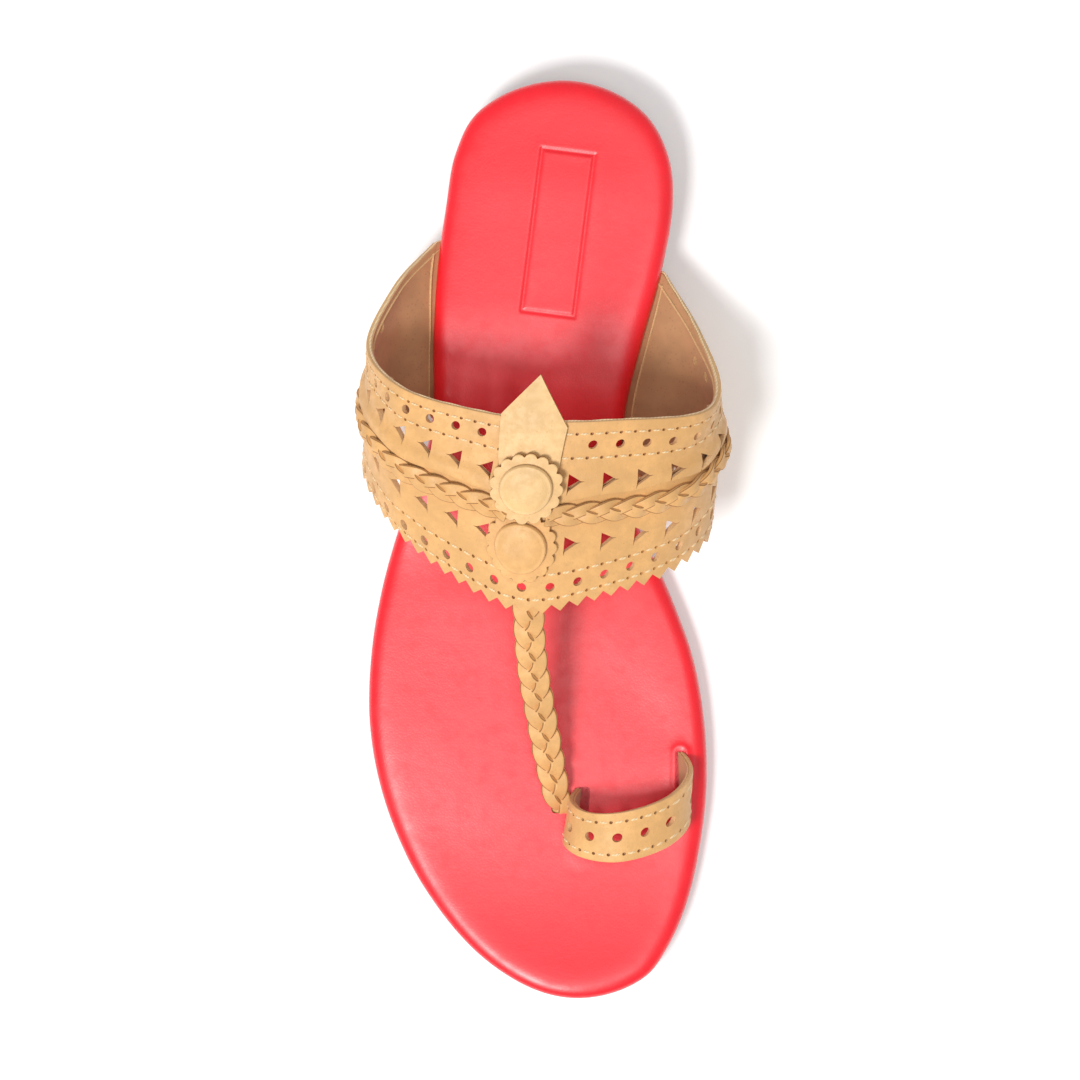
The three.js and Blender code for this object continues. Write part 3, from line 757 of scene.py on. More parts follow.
def stamp_distance(x, station):
    """How far a place is from the line of the pressed frame."""
    dx, ds = x - STAMP_MIDDLE[0], station - STAMP_MIDDLE[1]
    cos, sin = math.cos(STAMP_TURN), math.sin(STAMP_TURN)
    across, along = np.abs(dx * cos + ds * sin), np.abs(ds * cos - dx * sin)
    half = np.array(STAMP_SIZE) / 2
    outside = np.hypot(np.clip(across - half[0], 0, None), np.clip(along - half[1], 0, None))
    inside = np.minimum(half[0] - across, half[1] - along)
    return np.where(inside > 0, inside, outside)


def from_line(x, station, start, end):
    run = np.subtract(end, start)
    t = np.clip(((x - start[0]) * run[0] + (station - start[1]) * run[1]) / (run @ run), 0, 1)
    return np.hypot(x - start[0] - t * run[0], station - start[1] - t * run[1])


def slot_distance(x, station):
    return np.minimum.reduce([from_line(x, station, start, end) for start, end in SLOTS])


# Soft dents and swellings of the insole's padding: two ends of a line (x, station), half width, height.
PAD_CREASES = [
    ((-20, 140), (10, 152), 11, 0.22),
    ((14, 160), (30, 176), 8, -0.25),
    ((-30, 180), (-8, 205), 13, 0.2),
    ((4, 60), (-4, 96), 12, -0.25),
    ((-12, 28), (18, 30), 9, 0.2),
    ((38, 183), (38.4, 195), 1.6, 0.3),
    ((46, 148), (42, 194), 15, 1.1),
    ((7, 205), (9, 211), 3.0, 0.3),
]


def pad_rise(x, station):
    """The padding's soft shape: a low crown and creases."""
    rise = 0.0 * x
    for start, end, width, height in PAD_CREASES:
        rise += height * np.exp(-((from_line(x, station, start, end) / width) ** 2))
    return rise


def build_insole():
    """A firm foam pad wrapped in red coated leather."""
    under = [(0.8, 0.0)]
    over = [(0.25, 0.35), (0.0, 1.0), (0.0, 2.0), (0.02, 3.0), (0.15, 3.8), (0.5, 4.55), (1.05, 5.1)]
    over += [(1.8, 5.55), (2.8, 5.9), (4.0, 6.1), (5.4, 6.2), (7.2, 6.25)]
    pad = sole_layer("insole_pad", lambda s: outsole_top(s) + GAP, under, over, 190, 15, pad_rise)
    for reach, cuts in ((3.2, 1), (1.7, 2)):
        middles = np.array([face.center for face in pad.data.polygons])
        high = middles[:, 2] > outsole_top(ORIGIN_STATION - middles[:, 1]) + INSOLE_THICK - 1
        place = middles[:, 0], ORIGIN_STATION - middles[:, 1]
        near = (stamp_distance(*place) < reach) | (slot_distance(*place) < reach + 1)
        refine(pad, high & near, cuts)
    reshape(pad, press_stamp)
    cut(pad, slot_cutters())
    pad.data.materials.append(finish("red_coated_leather"))
    # painted shade on the slots' walls, for the dark slits where the ring's legs and the T strap go down
    cut_edges(pad, finish("dressed_edge"), in_a_slot)
    hand_over(pad, ["insole"], smooth_angle=50)


def refine(obj, chosen, cuts):
    """Splits the chosen faces into smaller ones."""
    only(obj)
    obj.data.polygons.foreach_set("select", np.zeros(len(obj.data.polygons), bool))
    obj.data.edges.foreach_set("select", np.zeros(len(obj.data.edges), bool))
    obj.data.vertices.foreach_set("select", np.zeros(len(obj.data.vertices), bool))
    obj.data.polygons.foreach_set("select", chosen)
    bpy.ops.object.mode_set(mode="EDIT")
    bpy.ops.mesh.select_mode(type="FACE")
    bpy.ops.mesh.subdivide(number_cuts=cuts)
    bpy.ops.object.mode_set(mode="OBJECT")


def press_stamp(points):
    """Presses the frame's line into the pad, which swells a little on both sides of it, and lifts a lip round
    the ring's medial slot."""
    station = ORIGIN_STATION - points[:, 1]
    away = stamp_distance(points[:, 0], station)
    top = points[:, 2] > outsole_top(station) + INSOLE_THICK - 1
    points[:, 2] += top * (0.06 * np.exp(-((away / 2.2) ** 2)) - 0.27 * np.exp(-((away / 0.6) ** 2)))
    points[:, 2] += top * 0.3 * np.exp(-(((from_line(points[:, 0], station, *SLOTS[0]) - 1.9) / 0.8) ** 2))
    return points


def slot_cutters():
    """Solids where the ring's legs and the T strap pass through the insole."""
    legs = []
    for side, slack in ((-1, 2.4), (1, 0.85)):
        leg = sheet("leg", (side * 34 - 12, -0.35), (side * 34 + 12, RING.length + 0.35), slack + 2.15, 1.5)
        legs.append(reshape(leg, lambda p: ring_leg(p - (0, 0, slack))))
    slot = sheet("slot", (0, -2.35), (16, 2.35), 2.6, 0.8)
    legs.append(reshape(slot, lambda p: t_strap_place(p + (T_STRAP_LENGTH - 12, 0, -1.3))))
    return join("slots", legs)


def in_a_slot(x, y):
    return slot_distance(x, ORIGIN_STATION - y) < 3


def ring_leg(points):
    """The ring's shape, with its legs carried on straight down past the feet."""
    over = np.clip(np.abs(points[:, 0]) - RING.end, 0, None)
    inside = points.copy()
    inside[:, 0] = np.sign(points[:, 0]) * np.minimum(np.abs(points[:, 0]), RING.end)
    placed = RING(inside)
    placed[:, 2] -= over
    return placed


HEEL_SEAMS = (3.2, 6.5)  # heights of the grooves between the heel's lifts


def build_outsole():
    """The outsole, with a stitching channel round its underside, and the heel of three lifts under it."""
    colour = finish("crepe_rubber")
    under = [(5.4, 0.0), (5.1, 0.4), (4.4, 0.45), (4.0, 0.0), (2.2, 0.0)]
    over = [(1.5, 0.15), (1.15, 0.6), (1.1, 1.4), (1.1, 2.4), (1.25, 2.85), (1.7, OUTSOLE_THICK)]
    outsole = sole_layer("outsole_sheet", lift, under, over, 150, 4)
    outsole.data.materials.append(colour)
    hand_over(outsole, ["outsole"])
    under = [(3.2, 0.0)]
    over = [(2.75, 0.15), (2.5, 0.6)]
    for seam in HEEL_SEAMS:
        inset = 2.5 - seam / 10
        over += [(inset, seam - 0.3), (inset + 0.3, seam - 0.12)]
        over += [(inset + 0.3, seam + 0.12), (inset - 0.03, seam + 0.3)]
    over += [(1.55, HEEL_LIFT - GAP)]
    heel = sole_layer("heel_block", lambda s: 0.0 * s, under, over, 150, 3)
    half = SOLE_LENGTH / 5
    breast = [(half * k / 20, ORIGIN_STATION - HEEL_LENGTH) for k in range(-20, 21)]
    breast = [(x, y + BREAST_HOLLOW * (1 - (x / half) ** 2)) for x, y in breast]
    outline = breast + [(half, ORIGIN_STATION + 2), (-half, ORIGIN_STATION + 2)]
    cut(heel, punches("breast", outline, [(0, 0, 1, 1)], -1, HEEL_LIFT + 1), "INTERSECT")
    heel.data.materials.append(colour)
    hand_over(heel, ["heel"])


# ---- The instep band ---------------------------------------------------------------------------------------

# Rows round the band: share of the way forward at the crown, how much that grows per mm to the medial side,
# and how much it has grown 45 mm away to both sides.
ROWS = {
    "rear_stitch": (0.064, 0.0002, 0.004),
    "rear_holes": (0.117, 0.0006, 0.026),
    "middle_stitch": (0.19, 0.0006, 0.016),
    "rear_triangles": (0.312, 0.001, 0.0),
    "front_triangles": (0.644, 0.0009, 0.034),
    "front_stitch": (0.803, 0.0, 0.0),
    "front_holes": (0.87, -0.0003, 0.0),
    "edge_stitch": (0.93, -0.0001, 0.0),
}
WELT_UP = 5.3  # mm along the lining from the band's end to its welt
TURNED_EDGE = 3.2  # mm from the rear rim to the ridge where the lining is turned in, down both sides
REAR_STRAP_EDGE = 0.41  # share where the rear strap ends, over the front one
FRONT_STRAP_START = 0.4
SIDE_ROWS = 96  # mm from the crown to where the rows of stitches end
SIDE_HOLES = 82
LEAF_ROOM = (4, 5)  # mm from the crown to the gap in the rear holes beside the leaf, and half its width
TRIANGLES = {
    "rear_triangles": (9.6, 18.7, 28, 37.3, 46.4, 55.5, 64.6, -14, -22.7, -31.3, -39.8, -48.4, -57, -66),
    "front_triangles": (10.5, 20.4, 29.7, 38.7, 47.7, 56.8, 65.8)
    + (-13, -21.9, -31.3, -40.2, -49.4, -58, -66.6),
}
ARROW = [(-1.8, -2.2), (1.5, -0.16), (2.6, 0), (1.5, 0.16), (-1.5, 1.95), (-1.8, 3.0)]


def row_y(row, x):
    """How far forward a row of the band is, at distances from the crown."""
    share, slant, bow = ROWS[row]
    x = np.clip(x, -45, 45)
    return BAND.length * (share + slant * x + bow * (x / 45) ** 2)


def disc(width, count=20):
    turn = np.arange(count) * 2 * math.pi / count
    return np.c_[np.cos(turn), np.sin(turn)] * width / 2


def row_of(row, start, pitch):
    """Places along a row of the band, every pitch."""
    x = np.arange(-math.floor((SIDE_HOLES + start) / pitch) * pitch + start, SIDE_HOLES, pitch)
    return np.c_[x, row_y(row, x)]


def band_punches(grow):
    """Round holes and triangles through leather and lining, larger by `grow`."""
    sizes = bpy.context.scene.sandal_sizes
    rear = row_of("rear_holes", 12.6, sizes.hole_pitch)
    rear = rear[np.abs(rear[:, 0] - LEAF_ROOM[0]) > LEAF_ROOM[1]]
    places = np.vstack([rear, row_of("front_holes", 5.7, sizes.hole_pitch)])
    round_holes = [(x, y, 1, BAND.squeeze(x)) for x, y in places]
    arrows = []
    for row, along in TRIANGLES.items():
        arrows += [(x, row_y(row, x), math.copysign(1, x), BAND.squeeze(x)) for x in along]
    parts = [punches("round", disc(sizes.hole + grow), round_holes, -1, 5)]
    bold = np.array(ARROW) * (1 + grow / 4)
    return parts + [punches("arrows", bold, arrows, -1, 5)]


def needle_places(row, length):
    """Needle holes and the stitches between them, along a row round the foot."""
    pitch = bpy.context.scene.sandal_sizes.stitch
    count = int((length[1] - length[0]) / pitch)
    x = length[0] + pitch * np.arange(count + 1)
    y = row(x)
    middle = (x[1:] + x[:-1]) / 2
    slope = np.arctan2(np.diff(y), np.diff(x))
    return np.c_[x, y], np.c_[middle, (y[1:] + y[:-1]) / 2, slope]


def stitches(name, places, top):
    """Short sunk lengths of thread between needle holes."""
    sizes = bpy.context.scene.sandal_sizes
    bpy.ops.object.select_all(action="DESELECT")
    bpy.ops.mesh.primitive_uv_sphere_add(segments=10, ring_count=8, radius=1)
    unit = bpy.context.object
    reshape(unit, lambda p: p[:, [2, 1, 0]] * (sizes.stitch * 0.26, sizes.thread / 2, sizes.thread * 0.45))
    rng = np.random.default_rng(len(places))
    rows = []
    for x, y, turn in places:
        height, skew, stretch = rng.uniform(-0.04, 0.05), rng.normal(0, 0.05), rng.uniform(0.92, 1.05)
        rows.append((x, y, top + height, turn + skew, stretch))
    return copies(name, unit, rows)


def pinking(last, half, front):
    """The strip that pinking shears take off a strap's front edge."""
    sizes = bpy.context.scene.sandal_sizes
    count = int(2 * half / sizes.tooth)
    outline = []
    for k in range(2 * count + 1):
        x = -half + k * sizes.tooth / 2
        depth = sizes.tooth_depth * last.squeeze(x) if k % 2 else 0.0
        outline.append((x, front - depth))
    outline += [(half + 9, front + 9), (-half - 9, front + 9)]
    return punches("pinking", outline, [(0, 0, 1, 1)], -1, 5)


def furrowed(rows, top):
    """Sinks the leather a little along its rows of stitches."""

    def place(points):
        for row in rows:
            away = points[:, 1] - row_y(row, points[:, 0])
            points[:, 2] -= (points[:, 2] > top - 0.3) * 0.16 * np.exp(-((away / 0.85) ** 2))
        return points

    return place


def build_band():
    """Two straps of tan leather, the rear over the front, on one lining."""
    sizes = bpy.context.scene.sandal_sizes
    under, top = sizes.lining, sizes.lining + sizes.leather
    front_y, rear_y = BAND.length * FRONT_STRAP_START, BAND.length * REAR_STRAP_EDGE
    straps = {
        "band_rear_strap": (0.0, rear_y, ("rear_stitch", "middle_stitch")),
        "band_front_strap": (front_y, BAND.length + 0.2, ("front_stitch", "edge_stitch")),
    }
    thread = []
    for name, (rear, front, rows) in straps.items():
        strap = sheet(name, (-BAND.end, rear), (BAND.end, front), sizes.leather, (1.5, 0.8))
        reshape(strap, lambda p: p + (0, 0, under))
        for tool in band_punches(0.0):
            cut(strap, tool)
        for row in rows:
            holes, between = needle_places(lambda x: row_y(row, x), (-SIDE_ROWS, SIDE_ROWS - 5))
            needles = [(x, y, 1, 1) for x, y in holes]
            cut(strap, punches("needles", disc(sizes.needle, 8), needles, under - 0.5, top + 1))
            thread.append(stitches("thread", between, top - 0.14))
        if name == "band_front_strap":
            cut(strap, pinking(BAND, BAND.end, BAND.length))
        strap.data.materials.append(finish("tan_cowhide"))

        def off_the_rows(x, y):
            return min(abs(y - row_y(row, x)) for row in rows) > 0.7

        cut_edges(strap, finish("cut_cowhide"), off_the_rows)
        reshape(strap, furrowed(rows, top))
        if name == "band_rear_strap":
            # painted shade on the rear strap's front cut edge, for the dark shadow line in the gap before the
            # plait
            cut_edges(strap, finish("dressed_edge"), lambda x, y: y > rear_y - 0.6)
            reshape(strap, over_front_strap)
        reshape(strap, BAND)
        hand_over(strap, ["upper"] if name == "band_front_strap" else [])
    lining = sheet("band_lining", (-BAND.end, 0.3), (BAND.end, BAND.length * 0.955), under - 0.03, (1.5, 1.0))
    for tool in band_punches(0.3):
        cut(lining, tool)
    lining.data.materials.append(finish("pigskin_lining"))
    cut_edges(lining, finish("cut_cowhide"))
    hand_over(reshape(lining, BAND))
    build_edges()
    rim = np.arange(-BAND.end, BAND.end)
    thread.append(bead("rim", rim, lambda x: 0.05 + 0.08 * np.sin(x / 1.3), under, 0.3))
    rows = join("band_stitches", thread)
    rows.data.materials.append(finish("waxed_cotton"))
    hand_over(reshape(rows, BAND))


def over_front_strap(points):
    """The rear strap's front edge rises over the front strap, and waves a little."""
    sizes = bpy.context.scene.sandal_sizes
    x, y = points[:, 0], points[:, 1]
    edge_y = BAND.length * REAR_STRAP_EDGE
    near = smooth((y - edge_y + 6) / 6)
    points[:, 2] += (sizes.leather + 0.1) * smooth((y - edge_y + 6.5) / 4)
    points[:, 1] += near * (0.35 * np.sin(x / 3.3) + 0.3 * np.sin(x / 7.9 + 1))
    return points


def bead(name, x, place, height, radius):
    """A thin round edge or thread that runs round the band at mm forward of its rear edge."""
    turn = np.arange(8) * math.pi / 4
    rim = np.c_[0 * turn, np.cos(turn), np.sin(turn)] * radius
    return skin(name, np.c_[x, place(x), 0 * x + height][:, None] + rim[None])


def build_edges():
    """The turned edge of the lining at the rear of both sides, and the welt where it meets the insole."""
    parts = []
    for side in (-1, 1):
        x = side * np.arange(47, BAND.end, 1.0)
        parts.append(bead("turned_edge", x, lambda x: TURNED_EDGE * smooth((np.abs(x) - 46) / 8), 0.0, 0.42))
        y = np.arange(2.5, BAND.length * 0.93, 1.0)
        turn = np.arange(8) * math.pi / 4
        rim = np.c_[np.cos(turn), 0 * turn, np.sin(turn)] * 0.45
        foot = np.c_[0 * y + side * (BAND.end - WELT_UP - 0.35 * np.sin(y / 6) - y / 25), y, 0 * y]
        parts.append(skin("welt", foot[:, None] + rim[None]))
    edges = join("lining_edges", parts)
    edges.data.materials.append(finish("cut_cowhide"))
    in_edit(edges, lambda: bpy.ops.mesh.normals_make_consistent(inside=False))
    hand_over(reshape(edges, BAND))


# ---- Plaits ------------------------------------------------------------------------------------------------

# The instep plait's runs: side, its sign, where it starts beside the rosettes, how long it takes there to
# come down onto the band, and from how high.
INSTEP_RUNS = (("lateral", -1, 6.4, 3.6, 1.7), ("medial", 1, 3.4, 2.2, 1.2))
INSTEP_LOBE = 6.1  # from one crossing of the instep plait to the next
INSTEP_SWING = 1.4  # how far its laces swing to each side
T_STRAP_LOBE = 6.8
T_STRAP_SWING = 2.0
T_STRAP_LACE = (4.05, 1.5)  # width and thickness
T_STRAP_START = 5.5
LACE_SIDES = 16
LACE_SHADED_SIDES = (1, 6)  # which of a lace's sides are painted with shade, for the dark lines in the gaps between the plait's lobes
LACE_FURROWS = (4, 12)  # which of its corners run along the middle of its faces


def plait(name, run, lobe, width, thick, swing, shape, point=1):
    """Three flat laces plaited side over side. `shape` gives, at places along the run, the plait's middle
    line to the side and up, and how wide it is there compared with its full width. `point` is 1 where the
    crossings point back along the run, or -1."""
    s = np.arange(run[0], run[1], 0.45)
    turn = np.arange(LACE_SIDES) * 2 * math.pi / LACE_SIDES
    oval = np.c_[np.cos(turn), np.sin(turn)]
    oval = np.sign(oval) * np.abs(oval) ** (0.58, 0.5) * (width / 2, thick / 2)
    oval[list(LACE_FURROWS)] *= 0.62
    side, up, wide = shape(s)
    laces = []
    for k in range(3):
        phase = 2 * math.pi * (s / (3 * lobe) + k / 3)
        middle = np.c_[s, side + swing * np.sin(phase) * wide, up + point * thick * 0.56 * np.sin(2 * phase)]
        heading = np.gradient(middle, axis=0)
        heading /= np.linalg.norm(heading, axis=1, keepdims=True)
        across = np.cross((0, 0, 1.0), heading)
        across /= np.linalg.norm(across, axis=1, keepdims=True)
        tilt = (-0.2 * np.sin(phase))[:, None]
        over = np.cross(heading, across)
        flat, high = across * np.cos(tilt) + over * np.sin(tilt), over * np.cos(tilt) - across * np.sin(tilt)
        pinch = wide[:, None, None]
        rings = middle[:, None] + flat[:, None] * oval[None, :, :1] * pinch
        lace = skin("lace", rings + high[:, None] * oval[None, :, 1:] * pinch**0.3)
        # a lace's top chamfer sides take painted shade, for the dark gap lines between lobes
        for look in ("tan_cowhide", "dressed_edge"):
            lace.data.materials.append(finish(look))
        for face in lace.data.polygons[2:]:
            face.material_index = int((face.index - 2) % LACE_SIDES in LACE_SHADED_SIDES)
        laces.append(lace)
    return join(name, laces)


def build_plaits():
    """The plait round the instep, in two runs, and the T strap."""
    sizes = bpy.context.scene.sandal_sizes
    middle = BAND.length * 0.5
    for side, outward, start, tail, over in INSTEP_RUNS:

        def shape(s):
            near = 1 - smooth((s - start) / tail)
            return 0.3 * near, sizes.lining + sizes.leather + 1.2 + over * near, 1 - 0.28 * near

        end = np.interp(0.5, BAND.shares, BAND.reach[:, 0 if outward < 0 else 1]) + 1
        lace = sizes.lace, sizes.lace_thick
        run = plait("plait", (start, end), INSTEP_LOBE, *lace, INSTEP_SWING, shape, outward)
        run.name = run.data.name = f"instep_plait_{side}"

        def lay(p):
            along = middle - 0.6 + (outward > 0) * 1.2 * smooth((p[:, 0] - 8) / 26)
            return np.c_[p[:, 0] * outward, along + p[:, 1] * BAND.squeeze(p[:, 0] * outward), p[:, 2]]

        reshape(run, lay)
        in_edit(run, lambda: bpy.ops.mesh.normals_make_consistent(inside=False))
        hand_over(reshape(run, BAND), [f"instep_braid_{side}"])

    def taper(s):
        knots = T_STRAP_RUN[:: len(T_STRAP_RUN) // (len(T_STRAP) - 1)][: len(T_STRAP)]
        return 0 * s, 0 * s, np.interp(s, knots, T_STRAP[:, 3]) / 7.4

    length = T_STRAP_START, T_STRAP_LENGTH + 1
    toe = plait("t_strap_plait", length, T_STRAP_LOBE, *T_STRAP_LACE, T_STRAP_SWING, taper, -1)
    hand_over(reshape(toe, t_strap_place))


# ---- Ornaments ---------------------------------------------------------------------------------------------

LEAF = [(4.5, 5), (7.4, -6), (7.5, -17), (-2.7, -32), (-10, -19.3), (-8.4, -6.7), (-4.5, 5)]
REAR_ROSETTE = (-2.5, 0.345)  # mm from the crown, share of the way forward
ROUND_SQUEEZE = 0.94  # what is left of a round's width where it is bent to the band
FRONT_ROSETTE = (-2.3, 0.66)
SCALLOPS = 16
SCALLOP_DEPTH = 0.9
ROUND_THICK = 1.1
BUTTON_HIGH = 1.75


def rosette_disc(name, radius, thick):
    """A round of leather with a scalloped rim."""
    profile = [(0, 0), (radius * 0.5, 0), (radius * 0.86, 0), (radius - 0.25, 0.02), (radius, 0.22)]
    profile += [(radius, thick - 0.22), (radius - 0.22, thick)]
    profile += [(radius * share, thick) for share in (0.86, 0.5, 0)]
    disc_piece = spun(name, profile, SCALLOPS * 8)

    def scallop(p):
        turn, reach = np.arctan2(p[:, 1], p[:, 0]), np.hypot(p[:, 0], p[:, 1])
        inward = SCALLOP_DEPTH * (1 - np.abs(np.cos(turn * SCALLOPS / 2)) ** 0.8)
        inward = inward * smooth((reach / radius - 0.8) / 0.2)
        return p * np.c_[*[1 - inward / np.maximum(reach, 1)] * 2, np.ones(len(p))]

    return reshape(disc_piece, scallop)


def button_disc(name, radius, high):
    """A low dome covered in leather, turned in round its rim, with the ring of the former just showing."""
    profile = [(0, 0), (radius * 0.5, 0), (radius - 0.5, 0), (radius - 0.1, 0.25)]
    profile += [(radius, 0.7), (radius - 0.12, 1.1), (radius - 0.45, 1.45)]
    profile += [(radius - 0.95, high * 0.83), (radius - 1.35, high * 0.84)]
    profile += [(radius - 1.7, high * 0.93), (radius * 0.5, high), (0, high * 1.02)]
    return spun(name, profile, 72)


def build_ornaments():
    """The leaf tab, and a scalloped rosette with a covered button twice."""
    sizes = bpy.context.scene.sandal_sizes
    skin_top = sizes.lining + sizes.leather
    x0, y0 = REAR_ROSETTE[0], REAR_ROSETTE[1] * BAND.length
    leaf = sheet("leaf", (x0 - 12, y0 - 34), (x0 + 10, y0 + 7), 1.0, 0.9)
    cut(leaf, punches("outline", LEAF[::-1], [(x0, y0, 1, 1)], -1, 3), "INTERSECT")
    leaf.data.materials.append(finish("pale_cowhide"))
    # painted shade round the leaf's cut edge, for the shadow line along it
    cut_edges(leaf, finish("dressed_edge"))

    def lie(p):
        p[:, 2] += skin_top + 0.15 + 1.15 * smooth((p[:, 1] - 11) / 7) + 0.9 * smooth((-2 - p[:, 1]) / 12)
        return p

    hand_over(reshape(reshape(leaf, lie), BAND), ["leaf_tab"])
    for place, part, base, colour in (
        (REAR_ROSETTE, "rear", skin_top + 2.35, "pale_cowhide"),
        (FRONT_ROSETTE, "front", skin_top + 0.3, "tan_cowhide"),
    ):
        x, y = place[0], place[1] * BAND.length
        rosette = rosette_disc(f"scalloped_{part}", sizes.rosette, ROUND_THICK)
        button = button_disc(f"covered_button_{part}", sizes.button, BUTTON_HIGH)
        rounds = (rosette, base, f"rosette_{part}"), (button, base + 1.15, f"button_{part}")
        for piece, height, stood in rounds:
            reshape(piece, lambda p: p * (ROUND_SQUEEZE, 1, 1) + (x, y, height))
            piece.data.materials.append(finish(colour))
            if piece is rosette:
                # painted shade round the rosette's scalloped rim, for the shadow line along it
                cut_edges(piece, finish("dressed_edge"))
            hand_over(reshape(piece, BAND), [stood])


# ---- The toe ring ------------------------------------------------------------------------------------------


def build_ring():
    """A punched strap with its lining, whose legs go down through the insole."""
    sizes = bpy.context.scene.sandal_sizes
    under, top = sizes.lining, sizes.lining + sizes.leather
    strap = sheet("ring_strap", (-RING.end, 0), (RING.end, RING.length), sizes.leather, (0.9, 0.8))
    reshape(strap, lambda p: p + (0, 0, under))
    x = np.arange(-4, 5) * sizes.hole_pitch * 0.98 - 0.2
    holes = [(k, RING.length / 2, 1, RING.squeeze(k)) for k in x]
    lining = sheet("ring_lining", (-RING.end, 0.2), (RING.end, RING.length - 0.2), under - 0.03, (0.9, 1.0))
    for piece, grow in ((strap, 0.1), (lining, 0.4)):
        cut(piece, punches("round", disc(sizes.hole + grow), holes, -1, 4))
    thread = []
    for y in (2.5, RING.length - 2.2):
        needles, between = needle_places(lambda x: 0 * x + y, (-29, 29))
        needles = [(*place, 1, 1) for place in needles]
        cut(strap, punches("needles", disc(sizes.needle, 8), needles, under - 0.5, top + 1))
        thread.append(stitches("thread", between, top - 0.06))
    strap.data.materials.append(finish("tan_cowhide"))
    lining.data.materials.append(finish("pigskin_lining"))
    for piece in (strap, lining):
        cut_edges(piece, finish("cut_cowhide"))
    rows = join("ring_stitches", thread)
    rows.data.materials.append(finish("waxed_cotton"))
    hand_over(reshape(strap, RING), ["toe_ring"])
    hand_over(reshape(lining, RING))
    hand_over(reshape(rows, RING))


# ---- The stage ---------------------------------------------------------------------------------------------


# Places and sizes of the stage are in metres, and a softbox's last value is its power in watts.
MIDDLE = (-0.001, -0.095, 0.02)  # what lights and camera are turned to
CAMERA_PLACE = (0.0497, -0.0948, 1.5)
SOFTBOXES = (
    ("key_softbox", (-0.44, -0.62, 1.38), 0.4, 0.4, 18.5),
    ("overhead_softbox", (0.22, -0.18, 1.7), 0.4, 0.5, 4),
)


def aimed(kind, name, place, target, **settings):
    """A light or camera, made and turned towards a point, with the heel at the top of its view."""
    if kind == "CAMERA":
        data = bpy.data.cameras.new(name)
    else:
        data = bpy.data.lights.new(name, "AREA")
    for key, value in settings.items():
        setattr(data, key, value)
    obj = bpy.data.objects.new(name, data)
    bpy.context.scene.collection.objects.link(obj)
    ahead = (Vector(target) - Vector(place)).normalized()
    right = ahead.cross(Vector((0, 1, 0))).normalized()
    turn = Matrix((right, right.cross(ahead), -ahead)).transposed()
    obj.matrix_world = Matrix.Translation(place) @ turn.to_4x4()
    return obj


def build_stage():
    """A plain pale floor, soft light from above, and the camera over the sandal, a little to its medial side."""
    bpy.ops.object.select_all(action="DESELECT")
    bpy.ops.mesh.primitive_plane_add(size=8, location=(0, 0, 0))
    floor = bpy.context.object
    floor.name = "floor"
    pale = {"Base_Color": (0.93, 0.93, 0.93, 1), "Roughness": 0.9, "Specular_IOR_Level": 0.1}
    board = finish_of("painted_board", **pale, Emission_Color=(1, 1, 1, 1), Emission_Strength=0.18)[0]
    floor.data.materials.append(board)
    world = bpy.data.worlds.new("studio")
    world.use_nodes = True
    world.node_tree.nodes["Background"].inputs["Color"].default_value = (1, 1, 1, 1)
    world.node_tree.nodes["Background"].inputs["Strength"].default_value = 0.45
    scene = bpy.context.scene
    scene.world = world
    scene.view_settings.view_transform = "Standard"
    for name, place, width, depth, energy in SOFTBOXES:
        panel = {"shape": "RECTANGLE", "size": width, "size_y": depth, "energy": energy}
        aimed("LIGHT", name, place, MIDDLE, **panel)
    scene.camera = aimed("CAMERA", "camera", CAMERA_PLACE, MIDDLE, sensor_width=36, lens=182)


# ---- Operators and panel -----------------------------------------------------------------------------------


class SANDAL_OT_insole(Operator):
    """Pads, wraps, stamps and slots the insole"""

    bl_idname = "sandal.insole"
    bl_label = "Insole"

    def execute(self, context):
        build_insole()
        return {"FINISHED"}


class SANDAL_OT_outsole(Operator):
    """Moulds the outsole and the heel"""

    bl_idname = "sandal.outsole"
    bl_label = "Outsole and heel"

    def execute(self, context):
        build_outsole()
        return {"FINISHED"}


class SANDAL_OT_band(Operator):
    """Cuts, punches, stitches and lasts the instep band"""

    bl_idname = "sandal.band"
    bl_label = "Instep band"

    def execute(self, context):
        build_band()
        return {"FINISHED"}


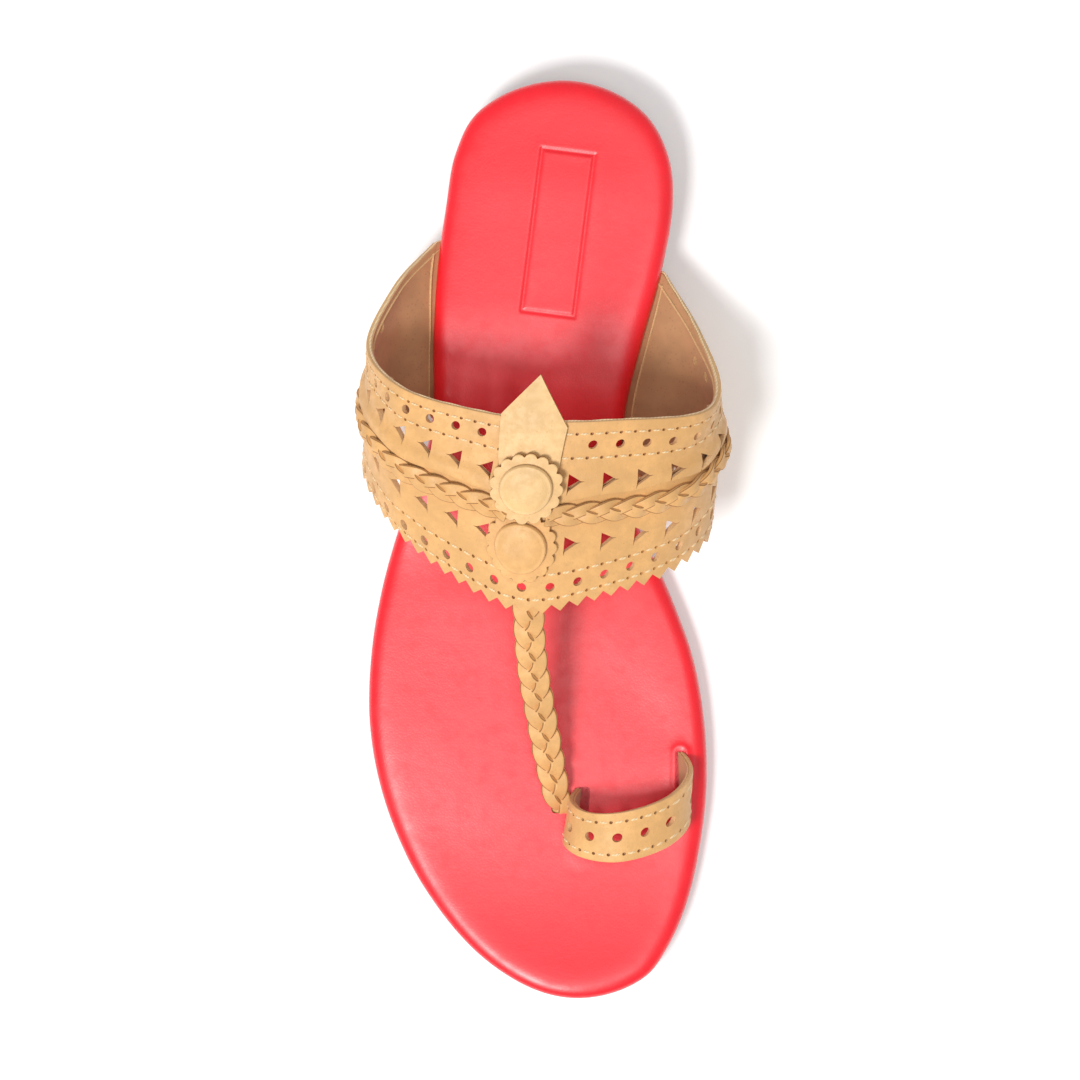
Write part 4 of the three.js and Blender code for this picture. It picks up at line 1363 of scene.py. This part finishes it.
class SANDAL_OT_plaits(Operator):
    """Plaits the laces round the instep and down the T strap"""

    bl_idname = "sandal.plaits"
    bl_label = "Plaits"

    def execute(self, context):
        build_plaits()
        return {"FINISHED"}


class SANDAL_OT_ornaments(Operator):
    """Cuts and places the leaf, the rosettes and the buttons"""

    bl_idname = "sandal.ornaments"
    bl_label = "Leaf, rosettes and buttons"

    def execute(self, context):
        build_ornaments()
        return {"FINISHED"}


class SANDAL_OT_ring(Operator):
    """Cuts, punches, stitches and lasts the toe ring"""

    bl_idname = "sandal.ring"
    bl_label = "Toe ring"

    def execute(self, context):
        build_ring()
        return {"FINISHED"}


class SANDAL_OT_stage(Operator):
    """Sets out the floor, the lights and the camera"""

    bl_idname = "sandal.stage"
    bl_label = "Stage"

    def execute(self, context):
        build_stage()
        return {"FINISHED"}


OPERATORS = (
    SANDAL_OT_stage,
    SANDAL_OT_insole,
    SANDAL_OT_outsole,
    SANDAL_OT_band,
    SANDAL_OT_ring,
    SANDAL_OT_plaits,
    SANDAL_OT_ornaments,
)


class SANDAL_PT_pieces(Panel):
    """Lists the sandal's sizes, colours and pieces"""

    bl_label = "Kolhapuri sandal"
    bl_space_type = "VIEW_3D"
    bl_region_type = "UI"
    bl_category = "Sandal"

    def draw(self, context):
        for group in (context.scene.sandal_sizes, context.scene.sandal_colours):
            for name in group.__annotations__:
                self.layout.prop(group, name)
        for operator in OPERATORS:
            self.layout.operator(operator.bl_idname)


CLASSES = (SandalSizes, SandalColours, *OPERATORS, SANDAL_PT_pieces)


def register():
    for cls in CLASSES:
        bpy.utils.register_class(cls)
    bpy.types.Scene.sandal_sizes = PointerProperty(type=SandalSizes)
    bpy.types.Scene.sandal_colours = PointerProperty(type=SandalColours)


def unregister():
    del bpy.types.Scene.sandal_sizes, bpy.types.Scene.sandal_colours
    for cls in reversed(CLASSES):
        bpy.utils.unregister_class(cls)


def main():
    register()
    for operator in OPERATORS:
        group, name = operator.bl_idname.split(".")
        getattr(getattr(bpy.ops, group), name)()


if __name__ == "__main__":
    main()
